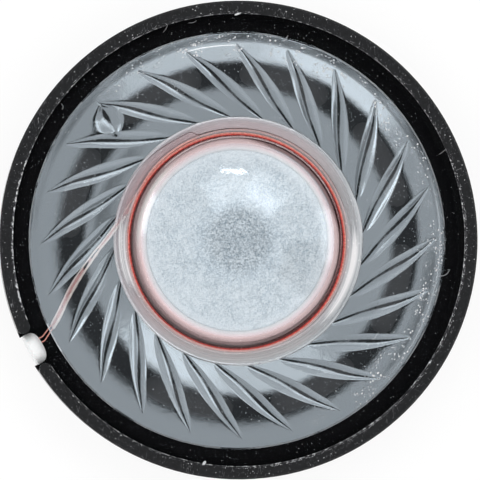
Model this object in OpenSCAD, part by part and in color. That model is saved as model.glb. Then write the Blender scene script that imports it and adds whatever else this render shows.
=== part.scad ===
// Miniature dynamic loudspeaker, about the size of a headphone driver.
// A moulded basket carries a cup-shaped magnet system. A clear pleated film diaphragm is
// glued to the basket's ledge and carries the voice coil. Front is +Z, back is at Z = 0.
// All lengths are in millimetres and all angles in degrees.

/* [Basket] */
// Outer diameter of the rim
rim_d = 36; // [33:0.5:42]
// Radial width of the rim
rim_w = 1; // [0.8:0.05:1.5]
// Height of the rim above the ledge that carries the diaphragm
rim_h = 2.2; // [2:0.05:4]
// Radial width of the ledge
ledge_w = 1.25; // [1:0.05:1.6]
// Thickness of the outer flange under the ledge
flange_t = 1.45; // [1.2:0.05:1.8]
// Thickness of the basket's floor
floor_t = 0.8; // [0.6:0.05:1]
// Radial step between the rim's outside and the basket's outside
basket_step = 1.1; // [0.8:0.05:1.4]
// Radial wall of the collar around the magnet cup
collar_w = 0.85; // [0.6:0.05:1]
// How far the collar stays below the cup's rim
collar_drop = 0.1; // [0.05:0.05:0.4]
// Chamfer on the rim's outer front edge
rim_chamfer = 0.15; // [0.05:0.05:0.3]

/* [Notch for the wires] */
// Direction of the notch, anticlockwise from +X
notch_angle = 208; // [180:1:240]
// Clear width of the notch
notch_w = 2.6; // [2.4:0.1:3.2]
// Width of the slot and groove below the notch
slot_w = 2.4; // [2:0.1:2.4]
// Depth of the slot below the ledge
slot_depth = 0.45; // [0.4:0.05:0.6]
// Depth of the groove down the outside of the flange
groove_depth = 0.7; // [0.6:0.05:0.8]

/* [Vents] */
// Number of places for vents around the basket, one of them kept free for the board
vent_places = 8; // [6:1:9]
// Width of a vent
vent_w = 1.8; // [1:0.1:2]
// Angle that a vent spans
vent_span = 24; // [14:1:26]
// Thickness of the cloth behind the vents
cloth_t = 0.15; // [0.1:0.05:0.3]
// Margin of the cloth around the vents
cloth_margin = 1; // [0.8:0.05:1.1]
// Distance between the collar and the cloth, which places the vents
cloth_gap = 0.59; // [0.5:0.01:0.8]

/* [Magnet system] */
// Wall of the steel cup
cup_wall = 0.8; // [0.6:0.05:1]
// Floor of the steel cup
cup_floor = 0.8; // [0.6:0.05:1.2]
// Radius on the cup's outer back edge
cup_corner = 0.5; // [0.2:0.05:0.6]
// Thickness of the magnet
magnet_t = 1.4; // [1.2:0.05:2]
// Thickness of the pole plate
plate_t = 0.8; // [0.6:0.05:1]
// Radial gap between the coil's bore and the pole plate
inner_gap = 0.43; // [0.35:0.01:0.55]
// Radial gap between the coil's outside and the cup
outer_gap = 0.25; // [0.2:0.01:0.4]
// How far the magnet's edge lies inside the pole plate's edge
magnet_inset = 0.55; // [0.3:0.05:1]
// How far the damping disc's edge lies inside the pole plate's edge
disc_inset = 0.58; // [0.3:0.02:1]
// Thickness of the damping disc
disc_t = 0.2; // [0.1:0.05:0.25]

/* [Voice coil] */
// Bore of the voice coil
coil_bore = 15.76; // [15:0.02:16.4]
// Diameter of the enamelled wire
wire_d = 0.1; // [0.09:0.01:0.11]
// Layers of wire in the winding
coil_layers = 4; // [3:1:4]
// Turns of wire in each layer
coil_turns = 19; // [16:1:22]

/* [Diaphragm] */
// Thickness of the film
film_t = 0.06; // [0.05:0.01:0.08]
// Flat width of film between the coil's outside and the crease of the surround
seat_w = 1.07; // [1:0.01:1.2]
// Height of the surround's arch above its feet
arch_h = 0.58; // [0.45:0.01:0.8]
// Rise of the surround from its inner foot to its outer foot
arch_rise = 0.13; // [0.1:0.01:0.2]
// Height of the spherical dome
dome_h = 1.28; // [0.9:0.01:1.4]
// Height of the steep neck below the dome
neck_h = 0.35; // [0.2:0.01:0.4]
// Radial run of the steep neck
neck_run = 0.45; // [0.35:0.01:0.6]
// Number of pleats in the surround
pleats = 24; // [16:1:24]
// Largest width of a pleat
pleat_w = 1.15; // [0.8:0.05:1.2]
// Largest depth of a pleat
pleat_depth = 0.3; // [0.15:0.01:0.32]
// Lean of a pleat from the radial direction where it leaves the crease
pleat_lean = 59; // [40:1:62]
// Direction of the first pleat's outer tip, anticlockwise from +X
pleat_start = 0.8; // [0:0.1:14.9]
// Distance from a pleat's outer tip to the ledge
pleat_end = 0.85; // [0.6:0.05:1.2]
// Gap between the film's edge and the rim
film_edge_gap = 0.15; // [0.1:0.01:0.25]

/* [Wires and board] */
// Radial length of the terminal board
board_l = 4.2; // [4:0.1:4.4]
// Width of the terminal board
board_w = 8; // [7.6:0.1:8.4]
// Thickness of the terminal board
board_t = 0.6; // [0.4:0.05:0.8]
// Distance of the board's outer edge from the basket's outside
board_edge = 1.2; // [1:0.1:1.4]
// Radius of the two heat stakes that hold the board
stake_r = 0.45; // [0.35:0.05:0.5]
// Distance between the two stakes
stake_pitch = 6.4; // [6.2:0.1:6.6]
// Distance between the two contact pads
pad_pitch = 2.8; // [2.6:0.1:3]
// Length of a contact pad
pad_l = 3; // [2.8:0.1:3.2]
// Width of a contact pad
pad_w = 1.6; // [1.4:0.1:1.8]
// Thickness of a contact pad
pad_t = 0.05; // [0.04:0.01:0.1]
// Radius of a solder joint
solder_r = 0.65; // [0.5:0.05:0.7]
// Height of a solder joint
solder_h = 0.45; // [0.3:0.05:0.6]

/* [Hidden] */

// Clearances and glue lines
glue_t = 0.05;       // glue line under a flat part
bond_gap = 0.02;     // gap left at a bonded line that moves or bends
fit_gap = 0.03;      // radial gap of a part that drops into its seat
glue_margin = 0.04;  // distance of a glue line from the edge of its seat
glue_inset = 0.2;    // glue line's edge inside the magnet's edge
bead_full = 0.57;    // how full a bead of glue is, where 0.5 gives it a straight face
eps = 0.5;           // how far a cutter runs past what it cuts
near = 0.01;         // difference below which two radii count as the same

// Facets of the exact round parts
$fn = 96;

// Radii, from the coil outwards
coil_ir = coil_bore / 2;
coil_or = coil_ir + coil_layers * wire_d;
plate_r = coil_ir - inner_gap;
magnet_r = plate_r - magnet_inset;
disc_r = plate_r - disc_inset;
cup_ir = coil_or + outer_gap;
cup_or = cup_ir + cup_wall;
collar_ir = cup_or + fit_gap;
collar_or = collar_ir + collar_w;
rim_or = rim_d / 2;
rim_ir = rim_or - rim_w;
ledge_ir = rim_ir - ledge_w;
basket_or = rim_or - basket_step;

// Heights, from the back forwards
magnet_z = cup_floor + glue_t;
plate_z = magnet_z + magnet_t + glue_t;
cup_h = plate_z + plate_t;
coil_h = coil_turns * wire_d;
coil_z = plate_z + plate_t / 2 - coil_h / 2;
seat_z = coil_z + coil_h + bond_gap;            // underside of the film at the coil
film_z = seat_z + arch_rise;                    // underside of the film at the ledge
ledge_z = film_z - glue_t;
rim_z = ledge_z + rim_h;
flange_z = ledge_z - flange_t;
floor_top = flange_z;
floor_z = floor_top - floor_t;
collar_z = cup_h - collar_drop;

// Surround and pleats
crease_r = coil_or + seat_w;
foot_r = ledge_ir;
pleat_tip_r = ledge_ir - pleat_end;
pleat_line_r = crease_r * sin(pleat_lean);      // the pleats' lines are tangent to this circle
pleat_pitch = 360 / pleats;
pleat_from = leg(crease_r);                     // along a pleat's line
pleat_to = leg(pleat_tip_r);
pleat_steps = 12;
pleat_edge_min = 0.06;                          // half width left where a pleat runs out
pleat_fullness = 0.85;                          // below 1 makes a pleat's ends fuller
crease_bend = 0.25;                             // width of the bend inside the crease
film_or = rim_ir - film_edge_gap;
neck_inset = 0.08;                              // flat film between coil's bore and neck
neck_or = coil_ir - neck_inset;
neck_ir = neck_or - neck_run;
dome_rings = 5;                                 // rings of facets on the dome

// Leads
lead_r = wire_d / 2;
lead_sides = 8;
lead_drop = 0.13;                               // wire centre below the film's underside
lead_span = 0.2;                                // radial reach in which a lead clears the film
strip_low = 0.06;                               // glue strip's faces above the wire's centre
strip_high = 0.11;
strip_w = 0.42;                                 // width of the glue strip
tunnel_r = 0.12;                                // hole for a wire in the notch's glue
tunnel_sides = 24;
tunnel_run = 1;                                 // its reach inside the rim
lead_lift = 0.2;                                // wire centre above the slot's floor
lead_off = 0.3;                                 // wire centre outside the groove's floor
lead_notch_z = ledge_z - slot_depth + lead_lift;
groove_r = rim_or - groove_depth;
lead_groove_r = groove_r + lead_off;
lead_y = [-0.5, -0.15];                         // across the notch, start and finish wire

// Routes of the two leads over the surround: the share of the way from the coil to the
// ledge, and the direction
lead_from = coil_or + lead_r + bond_gap / 2;
lead_route_start = [[0, 147], [0, 149], [0.005, 153], [0.026, 159], [0.062, 165.5], [0.123, 172],
    [0.244, 180.4], [0.355, 185.3], [0.466, 189.6], [0.587, 193.6], [0.698, 197.2], [0.798, 200.4],
    [0.899, 203], [0.975, 204.7]];
lead_route_finish = [[0, 156], [0, 158], [0.012, 163], [0.052, 169], [0.103, 173.3],
    [0.173, 178.2], [0.274, 183.2], [0.385, 188.2], [0.496, 192.4], [0.617, 196.4], [0.718, 199.6],
    [0.819, 202.6], [0.909, 204.6], [0.975, 205.7]];
// Middle line of the glue smear, from beside the coil's fillet of glue and along the leads
coil_bead = 0.16;                               // fillet of glue at the coil's outside
smear_from = coil_or + bond_gap / 2 + coil_bead + glue_margin + strip_w / 2;
smear_route = [[0, 110], [0, 120], [0, 130], [0, 140], [0, 150], [0, 158], [0.015, 165],
    [0.068, 172.6], [0.152, 178.3], [0.258, 183.4], [0.385, 188.6], [0.513, 193], [0.64, 196.9],
    [0.756, 200.4], [0.852, 203], [0.926, 204.6]];

// Board
board_r = basket_or - board_edge - board_l / 2;
board_corner = 0.4;
pad_corner = 0.3;
board_back = floor_z - board_t;
pad_z = board_back - pad_t;
solder_x = board_r + pad_l / 4;                 // solder joint's distance from the axis
solder_waist = 0.18;                            // how much a solder joint's flank is drawn in
stake_off = 0.9;                                // stakes' distance from the board's middle
stake_x = board_r - stake_off;
stake_head = 0.3;                               // height of a stake's head
stake_flare = 1.8;                              // head's radius over the stake's
stake_reach = board_t + stake_head;
cloth_w = vent_w + 2 * cloth_margin;
vent_r = collar_or + cloth_gap + cloth_w / 2;   // middle radius of the vents
cloth_free = 0.15;                              // gap between the cloth and the board
cloth_half = asin((board_w / 2 + cloth_free) / (vent_r - cloth_w / 2));

// Way of the leads from the ledge to the board: distance from the axis, share of the way
// across from the notch to the contact pad, and height
lead_in = 0.65;                                 // length laid straight into the slot
lead_dip = 0.05;                                // fall on the way into the slot
lead_bend = 0.13;                               // room of a bend
lead_slack = 0.45;                              // loose loop below flange and floor
lead_under = 0.2;                               // distance below the contact pads
lead_route_back = [
    [ledge_ir + lead_in, 0, lead_notch_z + lead_dip], [rim_ir + lead_bend, 0, lead_notch_z],
    [lead_groove_r - lead_bend, 0, lead_notch_z], [lead_groove_r, 0, lead_notch_z - lead_bend],
    [lead_groove_r, 0, flange_z], [lead_groove_r - lead_bend, 0.1, flange_z - lead_slack],
    [basket_or - lead_bend, 0.4, floor_z - lead_slack],
    [board_r + board_l / 2 - lead_bend, 0.8, pad_z - lead_under],
    [solder_x + solder_r, 1, pad_z - lead_r - glue_t]];

// Glue
yoke_bead = [0.45, 0.35];    // width and height of the bead around the cup
coil_bead_gap = [144, 176];  // directions between which the leads leave the coil
notch_sill = 0.05;           // rim left standing below the notch
round_cut = 60;              // reach of the round cut on each side of a rim end, in degrees
blob_lift = 0.04;            // gap between the film's flange and the glue in the notch
blob_back = 0.12;            // how far that glue stays inside the rim's outside
blob_r = 1.66;               // radius of its outline seen from the front
blob_off = 0.3;              // centre of that outline outside the rim
blob_top = [-0.4, -0.85, 2]; // domed top: centre from the rim and the film, and radius

// Length along a pleat's line from its foot of perpendicular to radius r
function leg(r) = sqrt(r * r - pleat_line_r * pleat_line_r);
// Share of a pleat's length at radius r, kept between 0 and 1
function pleat_share(r) = min(1, max(0,
    (leg(max(r, crease_r)) - pleat_from) / (pleat_to - pleat_from)));
// Outline and depth of a pleat along its length, as a share of the largest
function pleat_form(s) = pow(sin(180 * s), pleat_fullness);
// Direction of a pleat's line at radius r, measured from its outer tip
function pleat_turn(r) = let (q = min(pleat_tip_r, max(crease_r, r)))
    acos(pleat_line_r / q) - acos(pleat_line_r / pleat_tip_r);
// Half of a pleat's width at radius r, as an angle around the axis
function pleat_half(r) = let (
        s = pleat_share(r),
        w = max(pleat_edge_min, pleat_w / 2 * pleat_form(s)),
        q = min(pleat_tip_r, max(crease_r, r)))
    w / (q * sqrt(1 - pow(pleat_line_r / q, 2))) * 180 / PI;

// Underside of the arch at radius r, without its pleats
arch_half = (foot_r - crease_r) / 2;
arch_mid = (foot_r + crease_r) / 2;
arch_radius = (arch_half * arch_half + arch_h * arch_h) / (2 * arch_h);
function arch(r) = r <= crease_r ? seat_z
    : r >= foot_r ? film_z
    : seat_z + arch_rise * (r - crease_r) / (2 * arch_half)
        + sqrt(pow(arch_radius, 2) - pow(r - arch_mid, 2)) - (arch_radius - arch_h);
// Underside of the film at the bottom of a pleat
function valley(r) = arch(r) - pleat_depth * pleat_form(pleat_share(r));
// The lowest underside near radius r, where a lead can lie
function lead_roof(r) = min(valley(r - lead_span), valley(r), valley(r + lead_span));
// Underside of the film inside the coil: neck, then spherical dome
dome_radius = (neck_ir * neck_ir + dome_h * dome_h) / (2 * dome_h);
function dome(r) = r >= neck_or ? seat_z
    : r > neck_ir ? seat_z + neck_h * (neck_or - r) / neck_run
    : seat_z + neck_h + sqrt(pow(dome_radius, 2) - r * r) - (dome_radius - dome_h);

// Points on arcs and outlines
function polar(r, a, z) = [r * cos(a), r * sin(a), z];
function arc(r, from, to, n, c = [0, 0]) =
    [for (i = [0:n]) c + r * [cos(from + (to - from) * i / n), sin(from + (to - from) * i / n)]];
function rounded_box(l, w, r) = concat(
    arc(r, 0, 90, 5, [l / 2 - r, w / 2 - r]), arc(r, 90, 180, 5, [r - l / 2, w / 2 - r]),
    arc(r, 180, 270, 5, [r - l / 2, r - w / 2]), arc(r, 270, 360, 5, [l / 2 - r, r - w / 2]));

// Smooth curve through a list of points
function bend(a, b, c, d, t) = 0.5 * (2 * b + (c - a) * t + (2 * a - 5 * b + 4 * c - d) * t * t
    + (3 * b - a - 3 * c + d) * t * t * t);
function smooth(p, n) = let (last = len(p) - 1) concat(
    [for (i = [0:last - 1]) for (k = [0:n - 1])
        bend(p[max(0, i - 1)], p[i], p[i + 1], p[min(last, i + 2)], k / n)], [p[last]]);
function unit(v) = v / norm(v);

// Closed solid swept along a path: section holds [across, up] offsets, and side is a direction
// that the path never takes
module sweep(path, section, side) {
    n = len(path);
    m = len(section);
    ways = [for (i = [0:n - 1]) unit(path[min(n - 1, i + 1)] - path[max(0, i - 1)])];
    ups = [for (w = ways) unit(cross(w, side))];
    points = [for (i = [0:n - 1]) for (s = section)
        path[i] + s.x * cross(ways[i], ups[i]) + s.y * ups[i]];
    faces = concat(
        [[for (j = [0:m - 1]) j]],
        [for (i = [0:n - 2]) for (j = [0:m - 1]) let (k = (j + 1) % m)
            each [[i * m + j, (i + 1) * m + j, (i + 1) * m + k],
                [i * m + j, (i + 1) * m + k, i * m + k]]],
        [[for (j = [m - 1:-1:0]) (n - 1) * m + j]]);
    polyhedron(points, faces);
}

// Basket

module basket_profile() {
    polygon([
        [rim_or, flange_z], [rim_or, rim_z - rim_chamfer], [rim_or - rim_chamfer, rim_z],
        [rim_ir, rim_z], [rim_ir, ledge_z], [ledge_ir, ledge_z], [ledge_ir, floor_top],
        [collar_or, floor_top], [collar_or, collar_z], [collar_ir, collar_z],
        [collar_ir, floor_z], [basket_or, floor_z], [basket_or, flange_z]]);
}

// Outline of the notch, whose two ends of rim are rounded; gap narrows it all round
function notch_outline(gap) = let (
        end_r = rim_w / 2 + gap,
        mid_r = rim_or - rim_w / 2,
        turn = (notch_w / 2 + rim_w / 2) / mid_r * 180 / PI,
        out = [cos(turn), sin(turn)],
        over = [-sin(turn), cos(turn)],
        round_end = [for (a = [-round_cut:15:round_cut])
            (mid_r + end_r * sin(a)) * out - end_r * cos(a) * over],
        side = concat([round_end[0] - out + over * tan(round_cut)], round_end,
            [round_end[len(round_end) - 1] + out + over * tan(round_cut)]))
    concat(side, [for (i = [len(side) - 1:-1:0]) [side[i].x, -side[i].y]]);

// The notch through the rim, then the slot in the ledge that turns down into the groove
module notch_cut() {
    slot_z = ledge_z - slot_depth;
    top = ledge_z + eps / 2;
    translate([0, 0, ledge_z + notch_sill]) linear_extrude(rim_h + eps) polygon(notch_outline(0));
    translate([0, slot_w / 2, 0]) rotate([90, 0, 0]) linear_extrude(slot_w)
        polygon([[ledge_ir - eps, slot_z], [groove_r, slot_z], [groove_r, flange_z - eps],
            [rim_or + eps, flange_z - eps], [rim_or + eps, top], [ledge_ir - eps, top]]);
}

module vent_cut() {
    half = vent_span / 2;
    translate([0, 0, floor_z - eps]) linear_extrude(floor_t + 2 * eps)
        polygon(concat(
            arc(vent_r + vent_w / 2, -half, half, 8),
            [for (a = [15:30:165]) polar_2d(vent_r, half) + vent_w / 2 *
                [cos(half + a), sin(half + a)]],
            arc(vent_r - vent_w / 2, half, -half, 8),
            [for (a = [15:30:165]) polar_2d(vent_r, -half) + vent_w / 2 *
                [cos(180 - half + a), sin(180 - half + a)]]));
}
function polar_2d(r, a) = r * [cos(a), sin(a)];

module heat_stake() {
    rotate_extrude() polygon([[0, -stake_reach], [stake_r, -stake_reach],
        [stake_r * stake_flare, -board_t], [stake_r, -board_t], [stake_r, floor_t / 2],
        [0, floor_t / 2]]);
}

module frame() {
    color("#24272c") union() {
        difference() {
            rotate_extrude() basket_profile();
            rotate(notch_angle) notch_cut();
            for (i = [1:vent_places - 1]) rotate(notch_angle + i * 360 / vent_places) vent_cut();
        }
        for (side = [-1, 1]) rotate(notch_angle)
            translate([stake_x, side * stake_pitch / 2, floor_z]) heat_stake();
    }
}

// Magnet system

module yoke() {
    color("#b9bcc0") rotate_extrude() polygon(concat(
        [[0, 0]], arc(cup_corner, -90, 0, 6, [cup_or - cup_corner, cup_corner]),
        [[cup_or, cup_h], [cup_ir, cup_h], [cup_ir, cup_floor], [0, cup_floor]]));
}

module yoke_adhesive() {
    color("#8f8a72") translate([0, 0, floor_z]) rotate_extrude()
        translate([cup_or + fit_gap / 2, 0]) polygon([[0, 0], [0, -yoke_bead.y],
            [yoke_bead.x * bead_full, -yoke_bead.y * bead_full], [yoke_bead.x, 0]]);
}

module round_part(r, z, h) {
    translate([0, 0, z]) cylinder(r = r, h = h);
}

module magnet_adhesive() {
    color("#7c8a5e") round_part(magnet_r - glue_inset, cup_floor, glue_t);
}
module magnet() { color("#a7aaad") round_part(magnet_r, magnet_z, magnet_t); }
module plate_adhesive() {
    color("#7c8a5e") round_part(magnet_r - glue_inset, plate_z - glue_t, glue_t);
}
module pole_plate() { color("#c8bcbc") round_part(plate_r, plate_z, plate_t); }
module damping_disc() { color("#e6ebee") round_part(disc_r, cup_h, disc_t); }

// Voice coil: its outline shows the turns on all four sides

module voice_coil() {
    dent = wire_d / 5;
    color("#c8301f") rotate_extrude() polygon(concat(
        [for (i = [0:coil_turns - 1]) each [
            [coil_or - dent, coil_z + i * wire_d], [coil_or, coil_z + (i + 0.5) * wire_d]]],
        [for (i = [coil_layers:-1:1]) each [
            [coil_ir + i * wire_d - dent, coil_z + coil_h - (i == coil_layers ? 0 : dent)],
            [coil_ir + (i - 0.5) * wire_d, coil_z + coil_h]]],
        [for (i = [coil_turns:-1:1]) each [
            [coil_ir + dent, coil_z + i * wire_d - dent / 2],
            [coil_ir, coil_z + (i - 0.5) * wire_d]]]));
}

module coil_adhesive() {
    color("#d9b9a6") rotate(coil_bead_gap[1])
        rotate_extrude(angle = 360 - (coil_bead_gap[1] - coil_bead_gap[0]))
        translate([coil_or + bond_gap / 2, seat_z - bond_gap])
            polygon([[0, 0], [0, -coil_bead], [coil_bead, 0]]);
}

// Diaphragm: rings of points from the rim inwards, each [radius, points]. Around each pleat
// lie its bottom, its two edges and the middle of the land beside it.

film_rings = concat(
    [[film_or, 4], [foot_r, 4], [(foot_r + pleat_tip_r) / 2, 4]],
    [for (i = [pleat_steps:-1:0]) let (l = pleat_from + (pleat_to - pleat_from) * i / pleat_steps)
        [norm([l, pleat_line_r]), 4]],
    [[crease_r - crease_bend, 4], [neck_or, 4], [neck_ir, 4]],
    [for (k = [dome_rings:-1:1]) [neck_ir * k / (dome_rings + 0.6), 2]]);
ring_from = [for (i = 0, n = 0; i < len(film_rings); n = n + film_rings[i][1] * pleats, i = i + 1) n];
film_count = ring_from[len(film_rings) - 1] + film_rings[len(film_rings) - 1][1] * pleats;

// Angle of column c of a ring, from the pleat's bottom
function column(r, c) = let (
        flat = r > pleat_tip_r + near || r < crease_r - near,
        half = flat ? pleat_pitch / 4 : pleat_half(r))
    c == 0 ? 0 : c == 1 ? half : c == 2 ? pleat_pitch / 2 : pleat_pitch - half;
function film_height(r, c) = r < coil_ir ? dome(r) : c == 0 ? valley(r) : arch(r);
function film_ring(ring, lift) = [for (i = [0:pleats - 1]) for (k = [0:ring[1] - 1])
    let (c = k * 4 / ring[1])
    polar(ring[0], pleat_start + i * pleat_pitch + pleat_turn(ring[0]) + column(ring[0], c),
        film_height(ring[0], c) + lift)];
function film_points(lift) = concat(
    [for (ring = film_rings) each film_ring(ring, lift)], [[0, 0, dome(0) + lift]]);
// Triangles between ring i and the next one inwards
function film_band(i) = let (
        a = ring_from[i], b = ring_from[i + 1],
        n = film_rings[i][1] * pleats, m = film_rings[i + 1][1] * pleats)
    n == m
        ? [for (j = [0:n - 1]) let (k = (j + 1) % n)
            each [[a + j, b + j, b + k], [a + j, b + k, a + k]]]
        : [for (j = [0:m - 1]) let (k = (j + 1) % m, p = 2 * j, q = (2 * j + 2) % n)
            each [[a + p, b + j, a + p + 1], [a + p + 1, b + j, b + k],
                [a + p + 1, b + k, a + q]]];
film_skin = let (last = len(film_rings) - 1, a = ring_from[last],
        n = film_rings[last][1] * pleats)
    concat([for (i = [0:last - 1]) each film_band(i)],
        [for (j = [0:n - 1]) [a + j, film_count, a + (j + 1) % n]]);

module diaphragm() {
    under = film_count + 1;
    n = film_rings[0][1] * pleats;
    color("#cfd8de") polyhedron(
        concat(film_points(film_t), film_points(0)),
        concat(
            [for (f = film_skin) f],
            [for (f = film_skin) [f[0] + under, f[2] + under, f[1] + under]],
            [for (j = [0:n - 1]) let (k = (j + 1) % n)
                each [[j, k, under + k], [j, under + k, under + j]]]));
}

module flange_adhesive() {
    color("#2b2d31") difference() {
        rotate_extrude() translate([ledge_ir + glue_margin, ledge_z])
            square([film_or - ledge_ir - 2 * glue_margin, glue_t]);
        rotate(notch_angle) translate([ledge_ir - eps, -slot_w / 2 - glue_margin, ledge_z - eps])
            cube([ledge_w + 2 * eps, slot_w + 2 * glue_margin, 2 * eps]);
    }
}

// Leads: under the film, through the slot and the glue, down the groove to the board

function over_surround(route, from) = [for (p = route)
    let (r = from + p[0] * (ledge_ir - from)) polar(r, p[1], lead_roof(r) - lead_drop)];
function at_notch(x, y, z) = [x * cos(notch_angle) - y * sin(notch_angle),
    x * sin(notch_angle) + y * cos(notch_angle), z];
function lead_path(route, y, pad_y) = concat(
    smooth(over_surround(route, lead_from), 2),
    smooth([for (p = lead_route_back) at_notch(p[0], y + (pad_y - y) * p[1], p[2])], 2));

module lead(route, y, pad_y) {
    color("#d5533f") sweep(lead_path(route, y, pad_y),
        [for (i = [0:lead_sides - 1]) lead_r * [cos(i * 360 / lead_sides), sin(i * 360 / lead_sides)]],
        at_notch(0, 1, 0));
}
module lead_wire_start() { lead(lead_route_start, lead_y[0], -pad_pitch / 2); }
module lead_wire_finish() { lead(lead_route_finish, lead_y[1], pad_pitch / 2); }

module lead_adhesive() {
    color("#f0d9d3") sweep(smooth(over_surround(smear_route, smear_from), 2),
        [[-strip_w / 2, strip_low], [strip_w / 2, strip_low], [strip_w / 2, strip_high],
            [-strip_w / 2, strip_high]],
        at_notch(0, 1, 0));
}

module notch_glue() {
    low = ledge_z - slot_depth + fit_gap;
    step = film_z + film_t + blob_lift;
    color("#f2f4f4") rotate(notch_angle) difference() {
        intersection() {
            union() {
                translate([film_or + blob_lift, fit_gap - slot_w / 2, low])
                    cube([rim_or - film_or, slot_w - 2 * fit_gap, step - low + fit_gap]);
                intersection() {
                    translate([0, 0, step]) linear_extrude(rim_z - step)
                        polygon(notch_outline(fit_gap));
                    translate([rim_or + blob_off, 0, 0]) cylinder(r = blob_r, h = rim_z);
                    translate([rim_or + blob_top.x, 0, step + blob_top.y])
                        sphere(r = blob_top.z);
                }
            }
            cylinder(r = rim_or - blob_back, h = rim_z);
        }
        for (y = lead_y) {
            translate([rim_ir - tunnel_run, y, lead_notch_z]) rotate([0, 90, 0])
                cylinder(r = tunnel_r, h = lead_groove_r - rim_ir + tunnel_run, $fn = tunnel_sides);
            translate([lead_groove_r, y, low - eps])
                cylinder(r = tunnel_r, h = lead_notch_z - low + eps, $fn = tunnel_sides);
            translate([lead_groove_r, y, lead_notch_z]) sphere(r = tunnel_r, $fn = tunnel_sides);
        }
    }
}

// Back of the basket

module vent_cloth() {
    color("#2f3134") rotate(notch_angle + cloth_half) rotate_extrude(angle = 360 - 2 * cloth_half)
        translate([vent_r - cloth_w / 2, floor_z - cloth_t]) square([cloth_w, cloth_t]);
}

module terminal_board() {
    color("#3f6b3c") rotate(notch_angle) translate([board_r, 0, board_back])
        difference() {
            linear_extrude(board_t) polygon(rounded_box(board_l, board_w, board_corner));
            for (side = [-1, 1]) translate([stake_x - board_r, side * stake_pitch / 2, -eps])
                cylinder(r = stake_r + fit_gap, h = board_t + 2 * eps);
        }
}

module contact_pad(side) {
    color("#c98a4b") rotate(notch_angle) translate([board_r, side * pad_pitch / 2, pad_z])
        linear_extrude(pad_t) polygon(rounded_box(pad_l, pad_w, pad_corner));
}
module contact_pad_start() { contact_pad(-1); }
module contact_pad_finish() { contact_pad(1); }

module solder_joint(side) {
    color("#cfd2d4") rotate(notch_angle) translate([solder_x, side * pad_pitch / 2, pad_z])
        rotate_extrude() polygon(concat([[0, 0], [solder_r, 0]],
            [for (a = [15:15:90]) [solder_r * cos(a) * (1 - solder_waist * (1 - cos(a))),
                -solder_h * sin(a)]]));
}
module solder_joint_start() { solder_joint(-1); }
module solder_joint_finish() { solder_joint(1); }

frame();
yoke();
yoke_adhesive();
magnet_adhesive();
magnet();
plate_adhesive();
pole_plate();
damping_disc();
voice_coil();
coil_adhesive();
diaphragm();
flange_adhesive();
lead_wire_start();
lead_wire_finish();
lead_adhesive();
notch_glue();
vent_cloth();
terminal_board();
contact_pad_start();
contact_pad_finish();
solder_joint_start();
solder_joint_finish();
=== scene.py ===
"""Looks of a miniature loudspeaker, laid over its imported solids.

The file is laid out as an add-on and run as a script. Each operator makes or finishes one group of
pieces, and the last one sets the stage. Shapes are worked out in millimetres and stored in metres.
"""

import math
from types import SimpleNamespace

import bpy
import numpy as np
from bpy.props import FloatProperty, FloatVectorProperty, IntProperty, PointerProperty
from mathutils import Matrix, Vector


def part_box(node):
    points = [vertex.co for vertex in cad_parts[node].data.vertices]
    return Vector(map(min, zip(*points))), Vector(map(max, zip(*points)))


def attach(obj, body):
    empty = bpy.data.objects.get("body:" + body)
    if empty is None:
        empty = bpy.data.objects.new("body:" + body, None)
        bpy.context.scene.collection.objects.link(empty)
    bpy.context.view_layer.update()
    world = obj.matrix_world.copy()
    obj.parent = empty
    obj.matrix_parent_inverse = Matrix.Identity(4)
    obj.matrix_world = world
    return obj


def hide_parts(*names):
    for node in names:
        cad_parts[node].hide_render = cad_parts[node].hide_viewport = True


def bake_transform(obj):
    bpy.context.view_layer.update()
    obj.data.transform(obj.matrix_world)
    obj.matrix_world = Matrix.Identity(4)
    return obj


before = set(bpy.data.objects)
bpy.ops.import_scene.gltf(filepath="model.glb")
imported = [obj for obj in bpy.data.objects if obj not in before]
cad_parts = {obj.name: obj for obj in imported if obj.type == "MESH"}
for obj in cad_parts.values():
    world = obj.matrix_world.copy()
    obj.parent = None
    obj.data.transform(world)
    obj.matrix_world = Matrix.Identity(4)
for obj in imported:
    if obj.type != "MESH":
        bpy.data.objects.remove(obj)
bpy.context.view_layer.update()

bl_info = {
    "name": "Miniature loudspeaker",
    "version": (1, 0, 0),
    "blender": (4, 5, 0),
    "location": "3D View > Sidebar > Loudspeaker",
    "description": "Builds the film, winding, felt and finishes of a miniature loudspeaker",
    "category": "Object",
}

MM = 0.001
NOTCH = 208.0  # direction of the notch, in degrees


def top_of(node):
    """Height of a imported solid's highest point, in millimetres."""
    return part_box(node)[1].z / MM


def reach_of(node):
    """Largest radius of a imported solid, in millimetres."""
    low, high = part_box(node)
    return max(high.x, high.y, -low.x, -low.y) / MM


# Widths across the rim, the ledge and the winding
RIM_W, LEDGE_W, WINDING_W = 1.0, 1.25, 0.4

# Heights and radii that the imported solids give
RIM_Z = top_of("frame")
RIM_R = reach_of("frame")
RIM_IN = RIM_R - RIM_W
FOOT_R = RIM_IN - LEDGE_W
COIL_R = reach_of("voice_coil")
COIL_IN = COIL_R - WINDING_W
CUP_Z = top_of("yoke")
FELT_R = reach_of("damping_disc")
PLATE_R = reach_of("pole_plate")
COIL_TOP = top_of("voice_coil")
SEAT_Z = COIL_TOP + 0.02
FOOT_Z = SEAT_Z + 0.13
FILM_T = 0.06
LEDGE_Z = FOOT_Z - 0.05
FILM_R = reach_of("diaphragm")

# Surround of the film
CREASE_R = COIL_R + 1.07
TIP_R = FOOT_R - 0.85
ARCH_H = 0.58
PLEATS = 24
PLEAT_LEAN = math.radians(59)
PLEAT_START = -0.05
PLEATS_OFF = (0.09, -0.05)  # the pressed pattern lies a little off the axis
WINDING_OFF = (-0.07, -0.12)  # the winding lies off the axis too
# Middle of the winding's painted shade ring at its bore and its painted highlight ring at its outside
PAINTED_RINGS_OFF = (-0.055, -0.115)  # middle of the winding's dark and pale rings
LINE_R = CREASE_R * math.sin(PLEAT_LEAN)

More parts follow.
